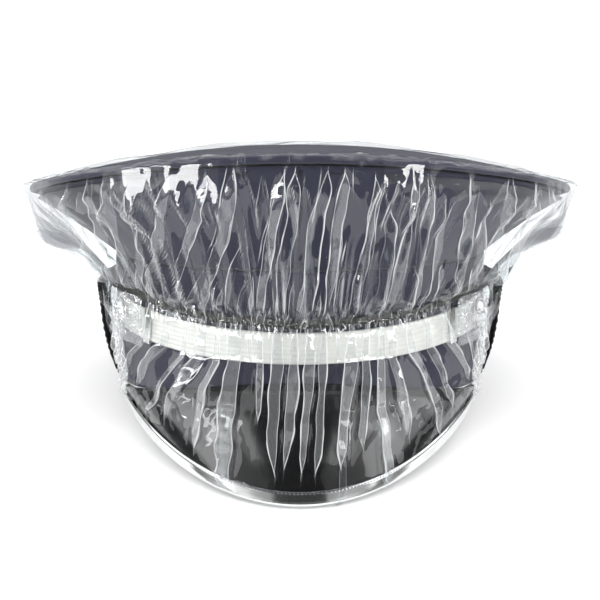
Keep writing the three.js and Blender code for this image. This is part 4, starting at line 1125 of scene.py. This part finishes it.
# Floor, light and camera
floor = add_object("floor", plain_mesh("floor", [(-4, -4, 0), (4, -4, 0), (4, 4, 0), (-4, 4, 0)], [(0, 1, 2, 3)]))
floor.data.materials.append(principled("floor_paper", (0.9, 0.9, 0.9), 0.9, Emission_Color=(1, 1, 1, 1),
                                       Emission_Strength=0.25)[0])


def softbox(name, location, aim, width, height, watts, diffuse=True, glossy=True):
    light = bpy.data.lights.new(name, "AREA")
    light.shape = "RECTANGLE"
    light.size, light.size_y, light.energy = width, height, watts
    lamp = add_object(name, light)
    lamp.location = location
    lamp.visible_camera = False
    lamp.visible_diffuse, lamp.visible_glossy = diffuse, glossy
    lamp.rotation_euler = (Vector(aim) - Vector(location)).to_track_quat("-Z", "Y").to_euler()


softbox("left_front", (-0.884, -0.654, 0.2), (0, 0, 0.1), 0.94, 0.16, 7.5, diffuse=False)
softbox("right_front", (0.707, -0.843, 0.2), (0, 0, 0.1), 0.42, 0.16, 3.4, diffuse=False)
for name, sign in (("left", -1), ("right", 1)):
    softbox(name + "_strip", (sign * 0.95, -0.1, 0.75), (0, 0, 0.08), 0.08, 0.5, 0.8)
    softbox(name + "_panel", (sign * 1.35, 0.1, 0.55), (0, 0, 0.1), 1.3, 1.0, 8)
softbox("front_fill", (0, -1.6, 0.9), (0, 0, 0), 2.0, 1.2, 14, glossy=False)
softbox("top_softbox", (0, 0.5, 1.8), (0, 0.5, 0), 3.6, 3.4, 52)


def dark_card(name, points, faces, cover=None):
    """A card that only mirrors see; where it covers less it lets the light through, so its edge is soft."""
    mesh = plain_mesh(name, points, faces)
    card = add_object(name, mesh)
    material, tree, shader = principled(name + "_paper", (0.02, 0.02, 0.021), 0.9)
    mesh.materials.append(material)
    if cover is not None:
        point_values(mesh, "cover", cover)
        share = shader_node(tree, "Attribute", attribute_name="cover")
        clear = shader_node(tree, "BsdfTransparent")
        mix = shader_node(tree, "MixShader", {0: share.outputs["Fac"], 1: clear.outputs[0], 2: shader.outputs[0]})
        tree.links.new(mix.outputs[0], tree.nodes["Material Output"].inputs[0])
    card.visible_camera = card.visible_diffuse = card.visible_shadow = False


# One card: a low one round the front, a tall one in front and one behind; and a second one overhead
CARD_RADIUS, CARD_HEIGHT = 0.34, 0.07
card_points, card_faces = [], []
for k, turn in enumerate(np.radians(np.arange(-110, 111, 5))):
    card_points += [(CARD_RADIUS * math.sin(turn), -CARD_RADIUS * math.cos(turn), z) for z in (0.0, CARD_HEIGHT)]
    if k:
        card_faces.append((2 * k - 2, 2 * k, 2 * k + 1, 2 * k - 1))
first = len(card_points)
card_points += [(-0.14, -0.345, 0.065), (0.14, -0.345, 0.065), (0.14, -0.345, 0.95), (-0.14, -0.345, 0.95)]
card_points += [(-1.2, 0.55, 0.0), (1.2, 0.55, 0.0), (1.2, 0.6, 0.5), (-1.2, 0.6, 0.5)]
card_faces += [tuple(range(first + k, first + k + 4)) for k in (0, 4)]
dark_card("dark_card", card_points, card_faces)
x, y = pair(np.linspace(-0.8, 0.6, 29), np.linspace(-1.1, 0.4, 31))
cover = (1 - smooth(x, 0.32, 0.56)) * (1 - smooth(-x, 0.46, 0.72))
cover = cover * smooth(y, -1.1, -0.9) * (1 - smooth(y, 0.0, 0.36))
index = np.arange(x.size).reshape(x.shape)
overhead_faces = np.stack([index[:-1, :-1], index[1:, :-1], index[1:, 1:], index[:-1, 1:]], -1).reshape(-1, 4)
dark_card("overhead_card", place(x, y, 0.95).reshape(-1, 3).tolist(), overhead_faces.tolist(), cover)

world = bpy.data.worlds.new("studio")
bpy.context.scene.world = world
world.use_nodes = True
world.node_tree.nodes["Background"].inputs[0].default_value = (1, 1, 1, 1)
world.node_tree.nodes["Background"].inputs[1].default_value = 0.35

CAMERA_ELEVATION, CAMERA_DISTANCE, TARGET_BELOW_CENTRE = math.radians(18.1), 1.0, 66.9
camera = add_object("camera", bpy.data.cameras.new("camera"))
bpy.context.scene.camera = camera
camera.data.sensor_width = 36
camera.data.lens = 36 * PHOTO_FOCAL / PHOTO_SIDE
camera.location = Vector(CAP_PLACE) / 1000 + CAMERA_DISTANCE * Vector(
    (0, -math.cos(CAMERA_ELEVATION), math.sin(CAMERA_ELEVATION)))
tilt = CAMERA_ELEVATION - math.atan(TARGET_BELOW_CENTRE / PHOTO_FOCAL)
camera.rotation_euler = (math.pi / 2 - tilt, 0, 0)
bpy.context.scene.view_settings.view_transform = "Standard"
